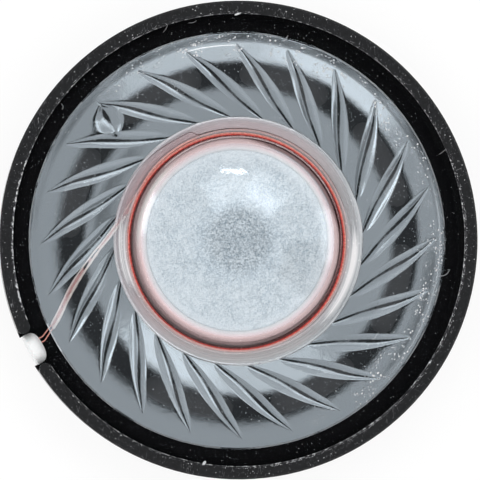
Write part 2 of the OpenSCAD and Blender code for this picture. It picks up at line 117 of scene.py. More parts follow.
# Way of the two leads over the surround: share of the way from the coil to the ledge, direction
START_ROUTE = (
    (0, 147), (0, 149), (0.005, 153), (0.026, 159), (0.062, 165.5), (0.123, 172), (0.244, 180.4),
    (0.355, 185.3), (0.466, 189.6), (0.587, 193.6), (0.698, 197.2), (0.798, 200.4), (0.899, 203),
    (0.975, 204.7),
)
FINISH_ROUTE = (
    (0, 156), (0, 158), (0.012, 163), (0.052, 169), (0.103, 173.3), (0.173, 178.2), (0.274, 183.2),
    (0.385, 188.2), (0.496, 192.4), (0.617, 196.4), (0.718, 199.6), (0.819, 202.6), (0.909, 204.6),
    (0.975, 205.7),
)
LEAD_Y = (-0.5, -0.15)  # places of the leads across the notch
LEAD_DROP = 0.13  # from the film's underside to a lead's middle
LEAD_OFF = 0.06  # from the coil to a lead's middle
NOTCH_WIRE_Z = LEDGE_Z - 0.25

# Distances from the axis along the notch's direction, and of a pad across it
BLOB_R = 17.6
SOLDER_R = 14.35
PAD_Y = 1.4

# Vents, and the cloth that leaves an angle free at the board
VENT_R = 12.7
VENT_PLACES = 8
VENT_PITCH = 360 / VENT_PLACES
CLOTH_IN, CLOTH_OUT = 10.8, 14.6
CLOTH_FREE = 22.6

# Camera: distance, width of the picture and aim beside the axis, in metres
CAMERA_FAR = 0.4
CAMERA_VIEW = 0.03606
CAMERA_AIM = (0.00004, -0.00002)

# Camera and strip lamp: lean off the axis and direction of the lean, in degrees
CAMERA_LEAN, CAMERA_WAY = 4.0, 198.0
LAMP_LEAN, LAMP_WAY = 30.5, 85.5

LAMP_FAR = 0.5  # distance of the strip lamp, in metres
SENSOR = 36.0  # width of the camera's sensor, in millimetres


# Shapes worked out with numbers


def smoothstep(low, high, x):
    """Rises smoothly from 0 at low to 1 at high."""
    t = np.clip((np.asarray(x, float) - low) / (high - low), 0, 1)
    return t * t * (3 - 2 * t)


def plateau(rise, full, fall, none, x):
    """Rises smoothly from 0 to 1 between rise and full, and falls again between fall and none."""
    return smoothstep(rise, full, x) * (1 - smoothstep(fall, none, x))


def ripple(x, y, seed, waves, low=0.5, high=1.6):
    """Smooth irregular waves over a plane, from -1 to 1. low and high are waves per millimetre."""
    dice = np.random.default_rng(seed)
    total = np.zeros(np.broadcast(x, y).shape)
    for _ in range(waves):
        way, pitch, phase = dice.uniform(0, 2 * math.pi), dice.uniform(low, high), dice.uniform(0, 6.3)
        total += np.sin(pitch * (x * math.cos(way) + y * math.sin(way)) * 2 * math.pi + phase)
    return total / waves


def leg(r):
    """Length along a pleat's line, from the foot of its perpendicular to radius r."""
    return np.sqrt(np.maximum(np.asarray(r, float) ** 2 - LINE_R**2, 0))


def pleat_form(r):
    """Width and depth of a pleat at radius r, as a share of the largest."""
    share = np.clip((leg(np.maximum(r, CREASE_R)) - leg(CREASE_R)) / (leg(TIP_R) - leg(CREASE_R)), 0, 1)
    return np.sin(np.pi * share**0.92) ** 0.72


def pleat_turn(r):
    """Direction of a pleat's bottom at radius r, in degrees from its outer tip."""
    q = np.clip(r, CREASE_R, TIP_R)
    return np.degrees(np.arccos(LINE_R / q) - math.acos(LINE_R / TIP_R)) + 0.8 * smoothstep(12.6, TIP_R, q)


def pleat_half(r, width):
    """Half of a pleat's width at radius r, as degrees around the axis."""
    q = np.clip(r, CREASE_R, TIP_R)
    return np.degrees(np.maximum(0.05, width / 2 * pleat_form(r)) / (q * np.sqrt(1 - (LINE_R / q) ** 2)))


# The film's slope at radii from the middle to the ledge
PROFILE = (
    (0, 0), (6.9, -0.335), (7.2, -0.4), (7.4, -0.5), (7.6, -0.65), (7.75, -0.8), (7.82, -0.8), (7.93, 0),
    (9.24, 0), (9.3, 0.3), (9.35, -0.28), (9.39, 0.05), (9.44, 0.17), (9.7, 0.17), (10.2, 0.18),
    (10.7, 0.175), (11.2, 0.12), (12.3, 0), (13.4, -0.125), (14.0, -0.17), (14.9, -0.18),
    (15.05, -0.13), (15.62, -0.125), (15.68, -0.6), (15.74, -0.3), (15.78, 0), (17, 0),
)


def film_under(r):
    """Underside of the film at radius r, without its pleats."""
    fine = np.arange(0, 17.001, 0.005)
    knots, slopes = np.array(PROFILE).T
    rise = np.concatenate([[0], np.cumsum(np.interp(fine[:-1] + 0.0025, knots, slopes) * 0.005)])
    inside = SEAT_Z + rise - np.interp(8.5, fine, rise)
    outside = FOOT_Z + rise - rise[-1]
    share = smoothstep(CREASE_R, TIP_R, fine)
    return np.interp(r, fine, inside * (1 - share) + outside * share)


def lead_roof(r):
    """Lowest underside of the film near radius r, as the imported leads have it."""
    def valley(q):
        half, mid = (FOOT_R - CREASE_R) / 2, (FOOT_R + CREASE_R) / 2
        bow = (half**2 + ARCH_H**2) / (2 * ARCH_H)
        inside = np.clip(q, CREASE_R, FOOT_R)
        height = SEAT_Z + (FOOT_Z - SEAT_Z) * (inside - CREASE_R) / (2 * half)
        height = height + np.sqrt(bow**2 - (inside - mid) ** 2) - (bow - ARCH_H)
        share = np.clip((leg(inside) - leg(CREASE_R)) / (leg(TIP_R) - leg(CREASE_R)), 0, 1)
        return height - 0.3 * np.sin(np.pi * share) ** 0.85
    r = np.asarray(r, float)
    return np.minimum(np.minimum(valley(r - 0.2), valley(r)), valley(r + 0.2))


def polar(r, degrees, z):
    """Points from radius, direction and height."""
    a = np.radians(degrees)
    r, a, z = np.broadcast_arrays(np.asarray(r, float), a, np.asarray(z, float))
    return np.stack([r * np.cos(a), r * np.sin(a), z], -1)


def at_notch(x, y, z):
    """A point given along and across the notch's direction."""
    c, s = math.cos(math.radians(NOTCH)), math.sin(math.radians(NOTCH))
    return np.array([x * c - y * s, x * s + y * c, z])


def notch_ring(x, y, z):
    """Points at one height, given along and across the notch's direction."""
    return np.array([at_notch(along, across, z) for along, across in zip(x, y)])


def toward(lean, turn):
    """Direction that leans off the axis by lean and points to turn, both in degrees."""
    a, b = math.radians(lean), math.radians(turn)
    return math.sin(a) * math.cos(b), math.sin(a) * math.sin(b), math.cos(a)


def smooth_path(points, steps):
    """Smooth curve through points, with steps to each stretch."""
    p = np.asarray(points, float)
    ends = np.concatenate([[2 * p[0] - p[1]], p, [2 * p[-1] - p[-2]]])
    t = np.linspace(0, 1, steps, endpoint=False)[:, None]
    out = []
    for a, b, c, d in zip(ends, ends[1:], ends[2:], ends[3:]):
        out.append(0.5 * (
            2 * b + (c - a) * t + (2 * a - 5 * b + 4 * c - d) * t**2 + (3 * b - a - 3 * c + d) * t**3
        ))
    return np.concatenate(out + [p[-1:]])


def grid_faces(rows, columns, around=False, start=0):
    """Quads of a grid of points, closed into a ring where asked."""
    wide = columns if around else columns - 1
    i, j = np.meshgrid(np.arange(rows - 1), np.arange(wide), indexing="ij")
    k = (j + 1) % columns
    quads = np.stack([i * columns + j, i * columns + k, (i + 1) * columns + k, (i + 1) * columns + j], -1)
    return (quads.reshape(-1, 4) + start).tolist()


def flipped(faces):
    """The same faces, seen from their other side."""
    return [face[::-1] for face in faces]


def fan(first, count, tip):
    """Triangles from a ring of points, which starts at first, to its tip."""
    return [[first + j, first + (j + 1) % count, tip] for j in range(count)]


def tube(path, radius, sides, squash=1.0):
    """Points and faces of a tube along a path, closed at both ends."""
    path = np.asarray(path, float)
    radius = np.broadcast_to(np.asarray(radius, float), len(path))
    way = np.gradient(path, axis=0)
    way /= np.linalg.norm(way, axis=1)[:, None]
    side = np.cross(way, [0.0, 0.0, 1.0])
    weak = np.linalg.norm(side, axis=1) < 0.2
    for i in np.flatnonzero(weak):
        side[i] = side[i - 1] if i else np.cross(way[i], [1.0, 0.0, 0.0])
    side /= np.linalg.norm(side, axis=1)[:, None]
    up = np.cross(side, way)
    turn = np.linspace(0, 2 * math.pi, sides, endpoint=False)
    ring = side[:, None] * np.cos(turn)[None, :, None] + up[:, None] * np.sin(turn)[None, :, None] * squash
    points = (path[:, None] + ring * radius[:, None, None]).reshape(-1, 3)
    faces = flipped(grid_faces(len(path), sides, around=True))
    return points, faces + [list(range(sides)), list(range(len(points) - 1, len(points) - 1 - sides, -1))]


def domed(rings, apex, hangs=False):
    """Points and faces of a stack of rings that ends in a point, closed at its foot."""
    n = len(rings[0])
    points = np.concatenate([*rings, [apex]])
    last = len(points) - 1 - n
    faces = grid_faces(len(rings), n, around=True) + [list(range(n - 1, -1, -1))]
    faces += fan(last, n, len(points) - 1)
    return points, flipped(faces) if hangs else faces


def joined(parts):
    """One list of points and one of faces from many."""
    points, faces, count = [], [], 0
    for p, f in parts:
        points.append(np.asarray(p, float).reshape(-1, 3))
        faces += [[i + count for i in face] for face in f]
        count += len(points[-1])
    return np.concatenate(points), faces


def make_piece(name, points, faces, material, smooth=True):
    """A new mesh object from points in millimetres."""
    mesh = bpy.data.meshes.new(name)
    mesh.from_pydata((np.asarray(points, float).reshape(-1, 3) * MM).tolist(), [], faces)
    mesh.validate()
    mesh.polygons.foreach_set("use_smooth", [smooth] * len(mesh.polygons))
    mesh.materials.append(material)
    mesh.update()
    piece = bpy.data.objects.new(name, mesh)
    bpy.context.scene.collection.objects.link(piece)
    return piece


def bend_with_film(piece):
    """Bakes a piece's placement into its mesh."""
    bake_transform(piece)


# Shader maths written as expressions


def arithmetic(operation, first=True):
    """A method that adds a Math node. The value comes first, or last where first is False."""
    def method(self, *others):
        operands = (self, *others) if first else (*others, self)
        return self.surface.add("ShaderNodeMath", {"operation": operation}, dict(enumerate(operands)))
    return method


class Value:
    """A socket of a material under way. Arithmetic on it adds Math nodes."""

    def __init__(self, surface, socket):
        self.surface, self.socket = surface, socket

    __add__ = __radd__ = arithmetic("ADD")
    __mul__ = __rmul__ = arithmetic("MULTIPLY")
    __sub__ = arithmetic("SUBTRACT")
    __rsub__ = arithmetic("SUBTRACT", first=False)
    __pow__ = arithmetic("POWER")
    __gt__ = arithmetic("GREATER_THAN")
    __lt__ = arithmetic("LESS_THAN")
    low = arithmetic("MINIMUM")
    high = arithmetic("MAXIMUM")
    size = arithmetic("ABSOLUTE")
    sine = arithmetic("SINE")
    arccosine = arithmetic("ARCCOSINE")
    arctan = arithmetic("ARCTAN2")
    modulo = arithmetic("MODULO")

    def ramp(self, start, end):
        """0 at start and 1 at end, smooth between them. start may be the larger."""
        ends = {"Value": self, "From Min": start, "From Max": end, "To Min": 0.0, "To Max": 1.0}
        return self.surface.add("ShaderNodeMapRange", {"interpolation_type": "SMOOTHSTEP"}, ends)

    def about(self, middle, none, full):
        """1 close to a value and 0 beyond none from it, smooth between."""
        return (self - middle).size().ramp(none, full)

    def between(self, rise, full, fall, none):
        """0 before rise and after none, 1 from full to fall, smooth between."""
        return self.ramp(rise, full) * self.ramp(none, fall)

    def away(self, direction):
        """Angle to a direction, both in degrees, from 0 to 180."""
        return ((self - direction + 540.0).modulo(360.0) - 180.0).size()


MIX_FACTOR, MIX_A, MIX_B, MIX_OUT = 0, 6, 7, 2  # sockets of the Mix node when it mixes colours


class Surface:
    """A material under way."""

    def __init__(self, name, owner=None):
        self.material = owner or bpy.data.materials.new(name)
        self.material.use_nodes = True
        self.tree = self.material.node_tree
        self.tree.nodes.clear()
        self.known = {}

    def add(self, kind, settings=None, inputs=None, out=0):
        """Adds a node: its settings first, then values or links for its sockets."""
        node = self.tree.nodes.new(kind)
        for name, value in (settings or {}).items():
            setattr(node, name, value)
        for key, value in (inputs or {}).items():
            if isinstance(value, Value):
                self.tree.links.new(value.socket, node.inputs[key])
            else:
                node.inputs[key].default_value = value
        return Value(self, node.outputs[out])

    def place(self, stretch=(1.0, 1.0, 1.0)):
        """Place on the loudspeaker in millimetres, stretched along its axes."""
        if stretch not in self.known:
            sides = {0: self.add("ShaderNodeTexCoord", out="Object"), 1: tuple(s / MM for s in stretch)}
            self.known[stretch] = self.add("ShaderNodeVectorMath", {"operation": "MULTIPLY"}, sides)
        return self.known[stretch]

    def axes(self):
        """Across, along and height, in millimetres."""
        if "axes" not in self.known:
            node = self.add("ShaderNodeSeparateXYZ", inputs={0: self.place()}).socket.node
            self.known["axes"] = [Value(self, s) for s in node.outputs]
        return self.known["axes"]

    def radius(self):
        """Distance from the loudspeaker's axis in millimetres."""
        if "radius" not in self.known:
            x, y, _ = self.axes()
            self.known["radius"] = (x * x + y * y) ** 0.5
        return self.known["radius"]

    def radius_about(self, middle_x, middle_y):
        """Distance from a line beside the axis, in millimetres."""
        x, y, _ = self.axes()
        return ((x - middle_x) ** 2 + (y - middle_y) ** 2) ** 0.5

    def direction(self):
        """Direction around the axis in degrees, from -180 to 180."""
        if "direction" not in self.known:
            x, y, _ = self.axes()
            self.known["direction"] = y.arctan(x) * math.degrees(1)
        return self.known["direction"]

    def near(self, direction, none, full):
        """1 near a direction, in degrees, and 0 beyond none degrees from it."""
        return self.direction().away(direction).ramp(none, full)

    def noise(self, scale, detail=3.0, rough=0.55, stretch=(1.0, 1.0, 1.0)):
        """Cloudy noise from 0 to 1. scale is clouds per millimetre."""
        inputs = {"Vector": self.place(stretch), "Scale": scale, "Detail": detail, "Roughness": rough}
        return self.add("ShaderNodeTexNoise", None, inputs)

    def bands(self, measure, scale, detail):
        """Noise along one measure, such as fine rings."""
        inputs = {"W": measure, "Scale": scale, "Detail": detail}
        return self.add("ShaderNodeTexNoise", {"noise_dimensions": "1D"}, inputs)

    def cells(self, scale, out="Distance", stretch=(1.0, 1.0, 1.0), feature="F1"):
        """Cells with their middle's distance or colour. scale is cells per millimetre."""
        inputs = {"Vector": self.place(stretch), "Scale": scale}
        return self.add("ShaderNodeTexVoronoi", {"feature": feature}, inputs, out)

    def specks(self, scale, share, size):
        """1 on scattered specks. share is how many of the cells have one, size is in cells."""
        chance = self.add("ShaderNodeSeparateColor", inputs={0: self.cells(scale, "Color")})
        return (chance < share) * self.cells(scale).ramp(size, size * 0.6)

    def mix(self, factor, a, b):
        """Colour between a and b."""
        inputs = {MIX_FACTOR: factor}
        for socket, color in ((MIX_A, a), (MIX_B, b)):
            inputs[socket] = (*color, 1.0) if isinstance(color, tuple) else color
        return self.add("ShaderNodeMix", {"data_type": "RGBA"}, inputs, MIX_OUT)

    def bump(self, height, distance):
        """Normal from a pattern. distance is how high its white stands over its black, in millimetres."""
        return self.add("ShaderNodeBump", None, {"Height": height, "Distance": distance * MM})

    def finish(self, **sockets):
        """Ends in a Principled shader, whose sockets are named with underscores."""
        inputs = {}
        for key, value in sockets.items():
            name = key.replace("_", " ").title().replace("Ior", "IOR")
            is_color = isinstance(value, tuple) and len(value) == 3 and "Color" in name
            inputs[name] = (*value, 1.0) if is_color else value
        shader = self.add("ShaderNodeBsdfPrincipled", None, inputs)
        self.show(shader)
        return self.material

    def show(self, shader, kind="ShaderNodeOutputMaterial"):
        """Makes a shader the one that is seen."""
        self.tree.links.new(shader.socket, self.tree.nodes.new(kind).inputs["Surface"])


def shade(color, factor):
    """A colour made lighter or darker."""
    return tuple(min(1.0, c * factor) for c in color)


# Finishes


def moulding_finish(colors):
    """Black moulding: fine texture on the rim, gloss in the recess, dust and scratches."""
    s = Surface("black_moulding")
    _, _, z = s.axes()
    r = s.radius()
    on_top = z.ramp(RIM_Z - 0.12, RIM_Z - 0.04)
    grain = s.noise(7.0, 4.0, 0.65)
    clouds = s.noise(0.9, 3.0)
    lines = s.cells(3.2, stretch=(1.0, 0.22, 1.0), feature="DISTANCE_TO_EDGE").ramp(0.02, 0.0)
    scratch = lines * (s.noise(1.3, 2.0) > 0.6)
    dust = s.specks(4.5, 0.16, 0.16) * s.noise(0.7).ramp(0.42, 0.62)
    fine = s.specks(11.0, 0.16, 0.22)
    nicks = s.specks(7.0, 0.3, 0.22) * s.noise(2.0).ramp(0.45, 0.6)
    dashes = s.cells(6.0, stretch=(1.0, 0.35, 1.0)).ramp(0.16, 0.08) * (s.noise(1.1, 2.0) > 0.5)
    pale = (dust + fine * 0.7 + (nicks * 0.7 + scratch * 0.7 + dashes * 0.5) * on_top).low(1.0)
    mottle = s.noise(3.5, 5.0, 0.8).ramp(0.38, 0.66)
    base = s.mix(on_top * (0.25 + mottle * 0.75), shade(colors.moulding, 0.6), shade(colors.moulding, 1.75))
    on_side = r.ramp(RIM_R - 0.12, RIM_R - 0.06)
    lines = s.cells(1.6, stretch=(1.0, 1.0, 0.25), feature="DISTANCE_TO_EDGE").ramp(0.012, 0.0)
    scuffs = lines * (s.noise(0.9, 2.0) > 0.6)
    pale = (pale + scuffs * on_side * 0.5).low(1.0)
    base = s.mix(pale * (0.1 + on_top * 0.6 + on_side * 0.3), base, (0.4, 0.41, 0.43))
    rough = 0.1 + grain * 0.08 + on_top * 0.3 + pale * 0.2 + clouds * 0.04
    height = grain * (0.15 + on_top * 0.85 + on_side * 0.5) + pale * 0.6 - scratch * on_top * 0.6
    return s.finish(base_color=base, roughness=rough, normal=s.bump(height, 0.02), specular_ior_level=0.22)


def flash_finish():
    """Torn flash on the rim's inner edge, with pale patches that are painted glints."""
    s = Surface("moulding_flash")
    # Painted glints: pale patches on the dark flash
    base = s.mix(s.noise(3.0, 3.0).ramp(0.42, 0.6), (0.06, 0.06, 0.07), (0.75, 0.76, 0.78))
    return s.finish(base_color=base, roughness=0.3, normal=s.bump(s.noise(14.0), 0.02))


def dust_finish():
    """White dust and lint."""
    s = Surface("white_dust")
    base = s.mix(s.noise(9.0), (0.5, 0.51, 0.53), (0.85, 0.86, 0.88))
    return s.finish(base_color=base, roughness=0.7, normal=s.bump(s.noise(20.0), 0.01))


def film_finish(colors):
    """Clear film with a silvery gloss, fine dust, glue specks near its edge, and painted highlights, sheen
    and red reflections at fixed places around the coil.
    """
    s = Surface("clear_film")
    r = s.radius()
    pressed = s.radius_about(*PLEATS_OFF)
    soft = s.noise(2.2, 2.0)
    edge = r.between(13.2, 14.7, 15.5, 15.75)
    spotted = s.near(68.0, 78.0, 30.0).high(s.near(333.0, 50.0, 16.0)) * edge
    spotted = spotted * s.noise(0.9, 2.0).ramp(0.44, 0.58)
    glue = s.specks(5.0, 0.5, 0.42) * spotted
    pops = s.cells(4.5)
    bubbles = pops.between(0.16, 0.24, 0.28, 0.36) * (s.noise(1.7) > 0.52) * spotted
    dust = s.specks(5.0, 0.1, 0.2) * 0.8 + s.specks(7.0, 0.3, 0.24) * 0.4
    white = (glue + bubbles * 0.7 + dust * 0.7).low(1.0)
    surround = pressed.ramp(CREASE_R - 0.02, CREASE_R + 0.22)
    inside = r.ramp(7.9, 7.6)
    flange = r.ramp(FOOT_R - 0.02, FOOT_R + 0.04)
    seat = r.ramp(8.3, 8.45) * pressed.ramp(9.34, 9.24)
    rings = s.bands(r + soft * 0.05, 9.0, 2.0)
    # Painted highlights: pale lines and patches at fixed places, which the room alone doesn't give
    right = s.near(340.0, 36.0, 12.0) * r.about(8.9, 0.42, 0.1)
    painted_halo_right = s.near(6.0, 42.0, 15.0) * seat
    left = s.near(187.0, 26.0, 10.0) * r.about(8.78, 0.38, 0.1)
    quiet = 1 - s.near(222.0, 36.0, 12.0) * 0.8 - s.near(66.0, 50.0, 20.0) * 0.6
    crease = (pressed - CREASE_R - 0.04).size().ramp(0.1, 0.03)
    crease = crease * (s.noise(0.25, 2.0).ramp(0.35, 0.65) * 0.5 + 0.5)
    ledge_highlight = r.about(15.71, 0.06, 0.02) * s.noise(0.35).ramp(0.32, 0.5) * 0.6
    trace_highlight = r.about(14.76, 0.06, 0.02) * s.near(98.0, 10.0, 6.0) * 0.6
    second_highlight = (r - 15.4 + soft * 0.08).size().ramp(0.06, 0.02) * s.near(348.0, 40.0, 20.0) * 0.3
    neck_highlight_line = r.about(7.81, 0.06, 0.015) * s.near(80.0, 66.0, 48.0) * 0.55
    highlight_streaks = neck_highlight_line + right * 0.85 + painted_halo_right * 0.2 + left * 0.7 + crease * 0.45
    # The seat's fine rings add a painted sheen, weaker toward 222 and 66 degrees
    painted_sheen = (highlight_streaks + seat * rings.ramp(0.5, 0.72) * 0.26 * quiet + ledge_highlight + trace_highlight + second_highlight).low(1.0)
    # Painted band over the coil's glue fillet: the glue's pink with a painted sheen whose width and strength
    # change with direction
    low_left, low_right = s.near(225.0, 100.0, 50.0), s.near(335.0, 60.0, 25.0)
    wound = s.radius_about(*WINDING_OFF)
    fillet = wound.ramp(8.26, 8.33) * (wound - low_left * 0.02 - low_right * 0.16).ramp(8.58, 8.4)
    fillet = fillet * (0.55 + low_left * 0.2) * (1 - s.near(131.0, 26.0, 14.0) * 0.85)
    # Painted sheen on the seat just past the cup, stronger toward the right
    past_cup_sheen = pressed.between(8.95, 9.2, 9.34, 9.42) * (0.2 + s.near(5.0, 110.0, 60.0) * 0.16)
    # Painted glow: pinkish light of the coil over the pole plate's edge
    glow = r.ramp(7.2, 7.38) * (r + s.near(45.0, 45.0, 15.0) * 0.42).ramp(7.9, 7.5)
    # Painted reflection: the film's gloss tinted pinkish brown over the neck, for the coil's red
    neck_red_reflection = r.between(7.35, 7.5, 7.95, 8.05)
    alpha = (
        0.14 + inside * 0.05 + surround * 0.17 - flange * 0.29 + white * 0.6 + painted_sheen * 0.8
        + fillet * 0.5 + past_cup_sheen + glow * 0.36
    )
    # Pinkish brown of the painted neck reflection
    base = s.mix(neck_red_reflection, colors.film, (0.8, 0.52, 0.53))
    # Colours of the painted glow: pink, and a whiter painted highlight toward the left
    base = s.mix(glow, base, s.mix(s.near(158.0, 34.0, 14.0), (0.93, 0.7, 0.71), (0.96, 0.92, 0.91)))
    # Pink of the painted fillet band
    base = s.mix(fillet, base, (0.95, 0.8, 0.79))
    # Pale where the specks lie and where the painted highlights and sheen lie
    base = s.mix((white + painted_sheen + past_cup_sheen).low(1.0), base, (0.95, 0.94, 0.95))
    metal = (0.93 - white * 0.86 - painted_sheen * 0.78 - glow * 0.86 - fillet * 0.75 - past_cup_sheen).high(0.0)
    rough = 0.07 + soft * 0.05 + white * 0.4 - inside * 0.03
    height = soft * (0.4 - r.ramp(14.8, 15.2) * 0.3) + s.noise(14.0, 2.0) * 0.03 + white * 0.6
    alpha, normal = alpha.high(0.02), s.bump(height, 0.012)
    return s.finish(base_color=base, metallic=metal, roughness=rough, alpha=alpha, normal=normal)


def enamel_finish(name, colors):
    """Copper wire under red enamel, with painted shade at the winding's bore and a painted highlight at its
    outside.
    """
    s = Surface(name)
    streak = s.noise(5.0, 2.0)
    base = s.mix(streak, shade(colors.enamel, 0.75), shade(colors.enamel, 1.25))
    seen = s.radius_about(*PAINTED_RINGS_OFF)
    # Painted shade: darker at the winding's bore
    base = s.mix(seen.ramp(COIL_IN + 0.24, COIL_IN + 0.17), base, shade(colors.enamel, 0.1))
    # Painted highlight: paler pink at the winding's outside. The leads lie further out and take it all along
    base = s.mix(seen.ramp(COIL_R - 0.15, COIL_R - 0.06) * 0.8, base, (0.98, 0.5, 0.42))
    rough = 0.2 + streak * 0.15
    lacquer = {"coat_weight": 0.6, "coat_roughness": 0.08}
    normal = s.bump(s.noise(12.0), 0.006)
    return s.finish(base_color=base, metallic=0.3, roughness=rough, normal=normal, **lacquer)


def clear_glue_finish(name, color, alpha, gloss=0.5):
    """Cured adhesive that shows what lies below it."""
    s = Surface(name)
    lumps = s.noise(5.0, 3.0)
    base = s.mix(lumps, shade(color, 0.85), shade(color, 1.1))
    rough, alpha = 0.14 + lumps * 0.2, alpha + lumps * 0.12
    normal = s.bump(lumps, 0.03)
    return s.finish(base_color=base, roughness=rough, alpha=alpha, specular_ior_level=gloss, normal=normal)


def white_glue_finish(colors):
    """Opaque white glue with soft dimples."""
    s = Surface("white_glue")
    lumps = s.noise(1.6, 2.0)
    base = s.mix(lumps, shade(colors.white_glue, 0.94), colors.white_glue)
    base = s.mix(s.specks(7.0, 0.06, 0.2), base, (0.45, 0.44, 0.42))
    depth = {"subsurface_weight": 0.3, "subsurface_radius": (0.0006, 0.0005, 0.0005)}
    normal = s.bump(lumps + s.noise(9.0) * 0.08, 0.05)
    return s.finish(base_color=base, roughness=0.32 + lumps * 0.12, normal=normal, **depth)


def felt_finish(name, color, vents=False):
    """Nonwoven: tangled fibres with denser and thinner patches, a painted dark ring near the middle and
    painted light toward the edge. Vents below it show through as painted shade.
    """
    s = Surface(name)
    patches = s.noise(0.45, 3.0, 0.6).ramp(0.3, 0.7)
    fibres = s.noise(10.0, 4.0, 0.8, stretch=(1.0, 0.5, 1.0))
    crossed = s.noise(10.0, 4.0, 0.8, stretch=(0.5, 1.0, 1.0))
    weave = (fibres + crossed) * 0.5
    thin = (color[0] * 0.42, color[1] * 0.5, color[2] * 0.56)
    base = s.mix(weave.ramp(0.4, 0.58), thin, shade(color, 1.06))
    base = s.mix(patches * 0.5, base, shade(color, 1.08))
    heart = s.radius().ramp(4.2, 2.4)
    grit = s.noise(6.5, 3.0, 0.9).ramp(0.46, 0.57)
    base = s.mix(heart * (1 - grit) * 0.42, base, (thin[0] * 0.55, thin[1] * 0.62, thin[2] * 0.68))
    base = s.mix(heart * grit * 0.75, base, (0.86, 0.94, 1.0))
    # Painted dark ring near the middle, for the dark reflection in the dome above
    base = s.mix(s.radius().between(1.8, 2.6, 2.9, 3.5) * 0.12, base, thin)
    if vents:
        # Painted shade where the open vents lie behind the cloth
        turned = s.direction() - NOTCH + (540.0 + VENT_PITCH / 2)
        off = (turned.modulo(VENT_PITCH) - VENT_PITCH / 2).size()
        past_end = (off - 12.0).high(0.0) * VENT_R * math.radians(1)
        across = s.radius() - VENT_R
        vent_shade = ((past_end * past_end + across * across) ** 0.5).ramp(0.98, 0.84)
        vent_shade = vent_shade * s.near(NOTCH, 24.0, 27.0)
        base = s.mix(vent_shade * 0.75, base, shade(color, 0.2))
    # Painted light: lighter toward the disc's edge
    base = s.mix(s.radius().ramp(5.9, 6.75) * 0.5, base, shade(color, 1.12))
    return s.finish(base_color=base, roughness=0.9, normal=s.bump(weave, 0.08))


def steel_finish(name, color, frosted, turned=14.0, rough=0.3):
    """Plated steel with the fine rings that turning leaves. The front faces are frosted, with a painted
    sheen toward one side, painted light next to the felt and painted shade at the pole plate's edge.
    """
    s = Surface(name)
    r = s.radius()
    x, y, z = s.axes()
    rings = s.bands(r * turned + z * turned, 1.0, 3.0)
    stain = s.noise(0.35, 4.0, 0.6).ramp(0.5, 0.75)
    front = z.ramp(CUP_Z - 0.06, CUP_Z - 0.01)
    base = s.mix(stain * 0.4, color, shade(color, 0.75))
    # Painted sheen: the cup's front lighter and greyer toward the lower right, pinker toward the upper left
    side_sheen_tint = s.mix((y - x).ramp(-10.0, 10.0), shade((0.66, 0.665, 0.68), frosted[0] / 0.69), frosted)
    side_sheen_tint = s.mix(r.ramp(PLATE_R + 0.6, PLATE_R + 0.3), side_sheen_tint, frosted)
    # Painted light: paler next to the felt disc
    base = s.mix(front, base, s.mix(r.ramp(FELT_R, PLATE_R - 0.1), (0.84, 0.84, 0.85), side_sheen_tint))
    # Painted shade at the pole plate's edge, beside the gap
    rim = r.between(PLATE_R - 0.25, PLATE_R, PLATE_R + 0.05, PLATE_R + 0.1)
    base = s.mix(rim, base, shade(frosted, 0.45))
    base = s.mix(s.specks(3.5, 0.12, 0.2) * 0.5, base, shade(color, 0.4))
    metal = 0.92 - front * 0.72
    roughness = rough + rings * 0.12 + stain * 0.12 + front * 0.2
    return s.finish(base_color=base, metallic=metal, roughness=roughness, normal=s.bump(rings, 0.008))


def board_finish(colors):
    """Solder mask over laminate, with the weave showing through."""
    s = Surface("solder_mask")
    x, y, z = s.axes()
    weave = (x * 9.0).sine() * (y * 9.0).sine() * 0.5 + 0.5
    edge = z.ramp(1.46, 1.5).high(z.ramp(0.94, 0.9))
    base = s.mix(weave * 0.3 + s.noise(2.0) * 0.3, shade(colors.board, 0.8), shade(colors.board, 1.3))
    base = s.mix(edge, (0.42, 0.4, 0.25), base)
    rough = 0.3 + s.noise(6.0) * 0.2
    return s.finish(base_color=base, roughness=rough, coat_weight=0.3, normal=s.bump(weave, 0.006))


def tin_finish(name, color, rough):
    """Tin with the crystals and ripples of cooling."""
    s = Surface(name)
    crystals = s.cells(6.0, feature="SMOOTH_F1")
    base = s.mix(crystals, color, shade(color, 0.75))
    normal = s.bump(crystals + s.noise(9.0) * 0.3, 0.02)
    return s.finish(base_color=base, metallic=0.95, roughness=rough + crystals * 0.25, normal=normal)


def coat(material, *nodes):
    """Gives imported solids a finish."""
    for name in nodes:
        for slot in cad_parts[name].material_slots:
            slot.material = material


# Sizes and colours that a user may change


def length(name, description, default, low, high):
    """A length in metres."""
    return FloatProperty(
        name=name, description=description, default=default, min=low, max=high, unit="LENGTH")


def count(name, description, default, high):
    """A number of small pieces."""
    return IntProperty(name=name, description=description, default=default, min=0, max=high)


def tint(name, description, *default):
    """A colour."""
    return FloatVectorProperty(
        name=name, description=description, subtype="COLOR", size=3, min=0, max=1, default=default)


class SpeakerSizes(bpy.types.PropertyGroup):
    """Sizes and numbers of the details, and the level of the light."""

    pleat_width: length("Pleat width", "Largest width of a pleat", 0.0012, 0.0006, 0.0014)
    pleat_depth: length("Pleat depth", "Largest depth of a pleat", 0.000155, 0.0001, 0.0003)
    wire: length("Wire", "Diameter of the enamelled wire", 0.0001, 0.00008, 0.00012)
    felt_fibres: count("Felt fibres", "Number of loose fibres on the felt disc", 900, 3000)
    dust: count("Dust", "Number of dust grains on rim and ledge", 150, 1000)
    light: FloatProperty(
        name="Light level", description="Brightness of the soft light all round", default=1.0,
        min=0.2, max=2.0, subtype="FACTOR")


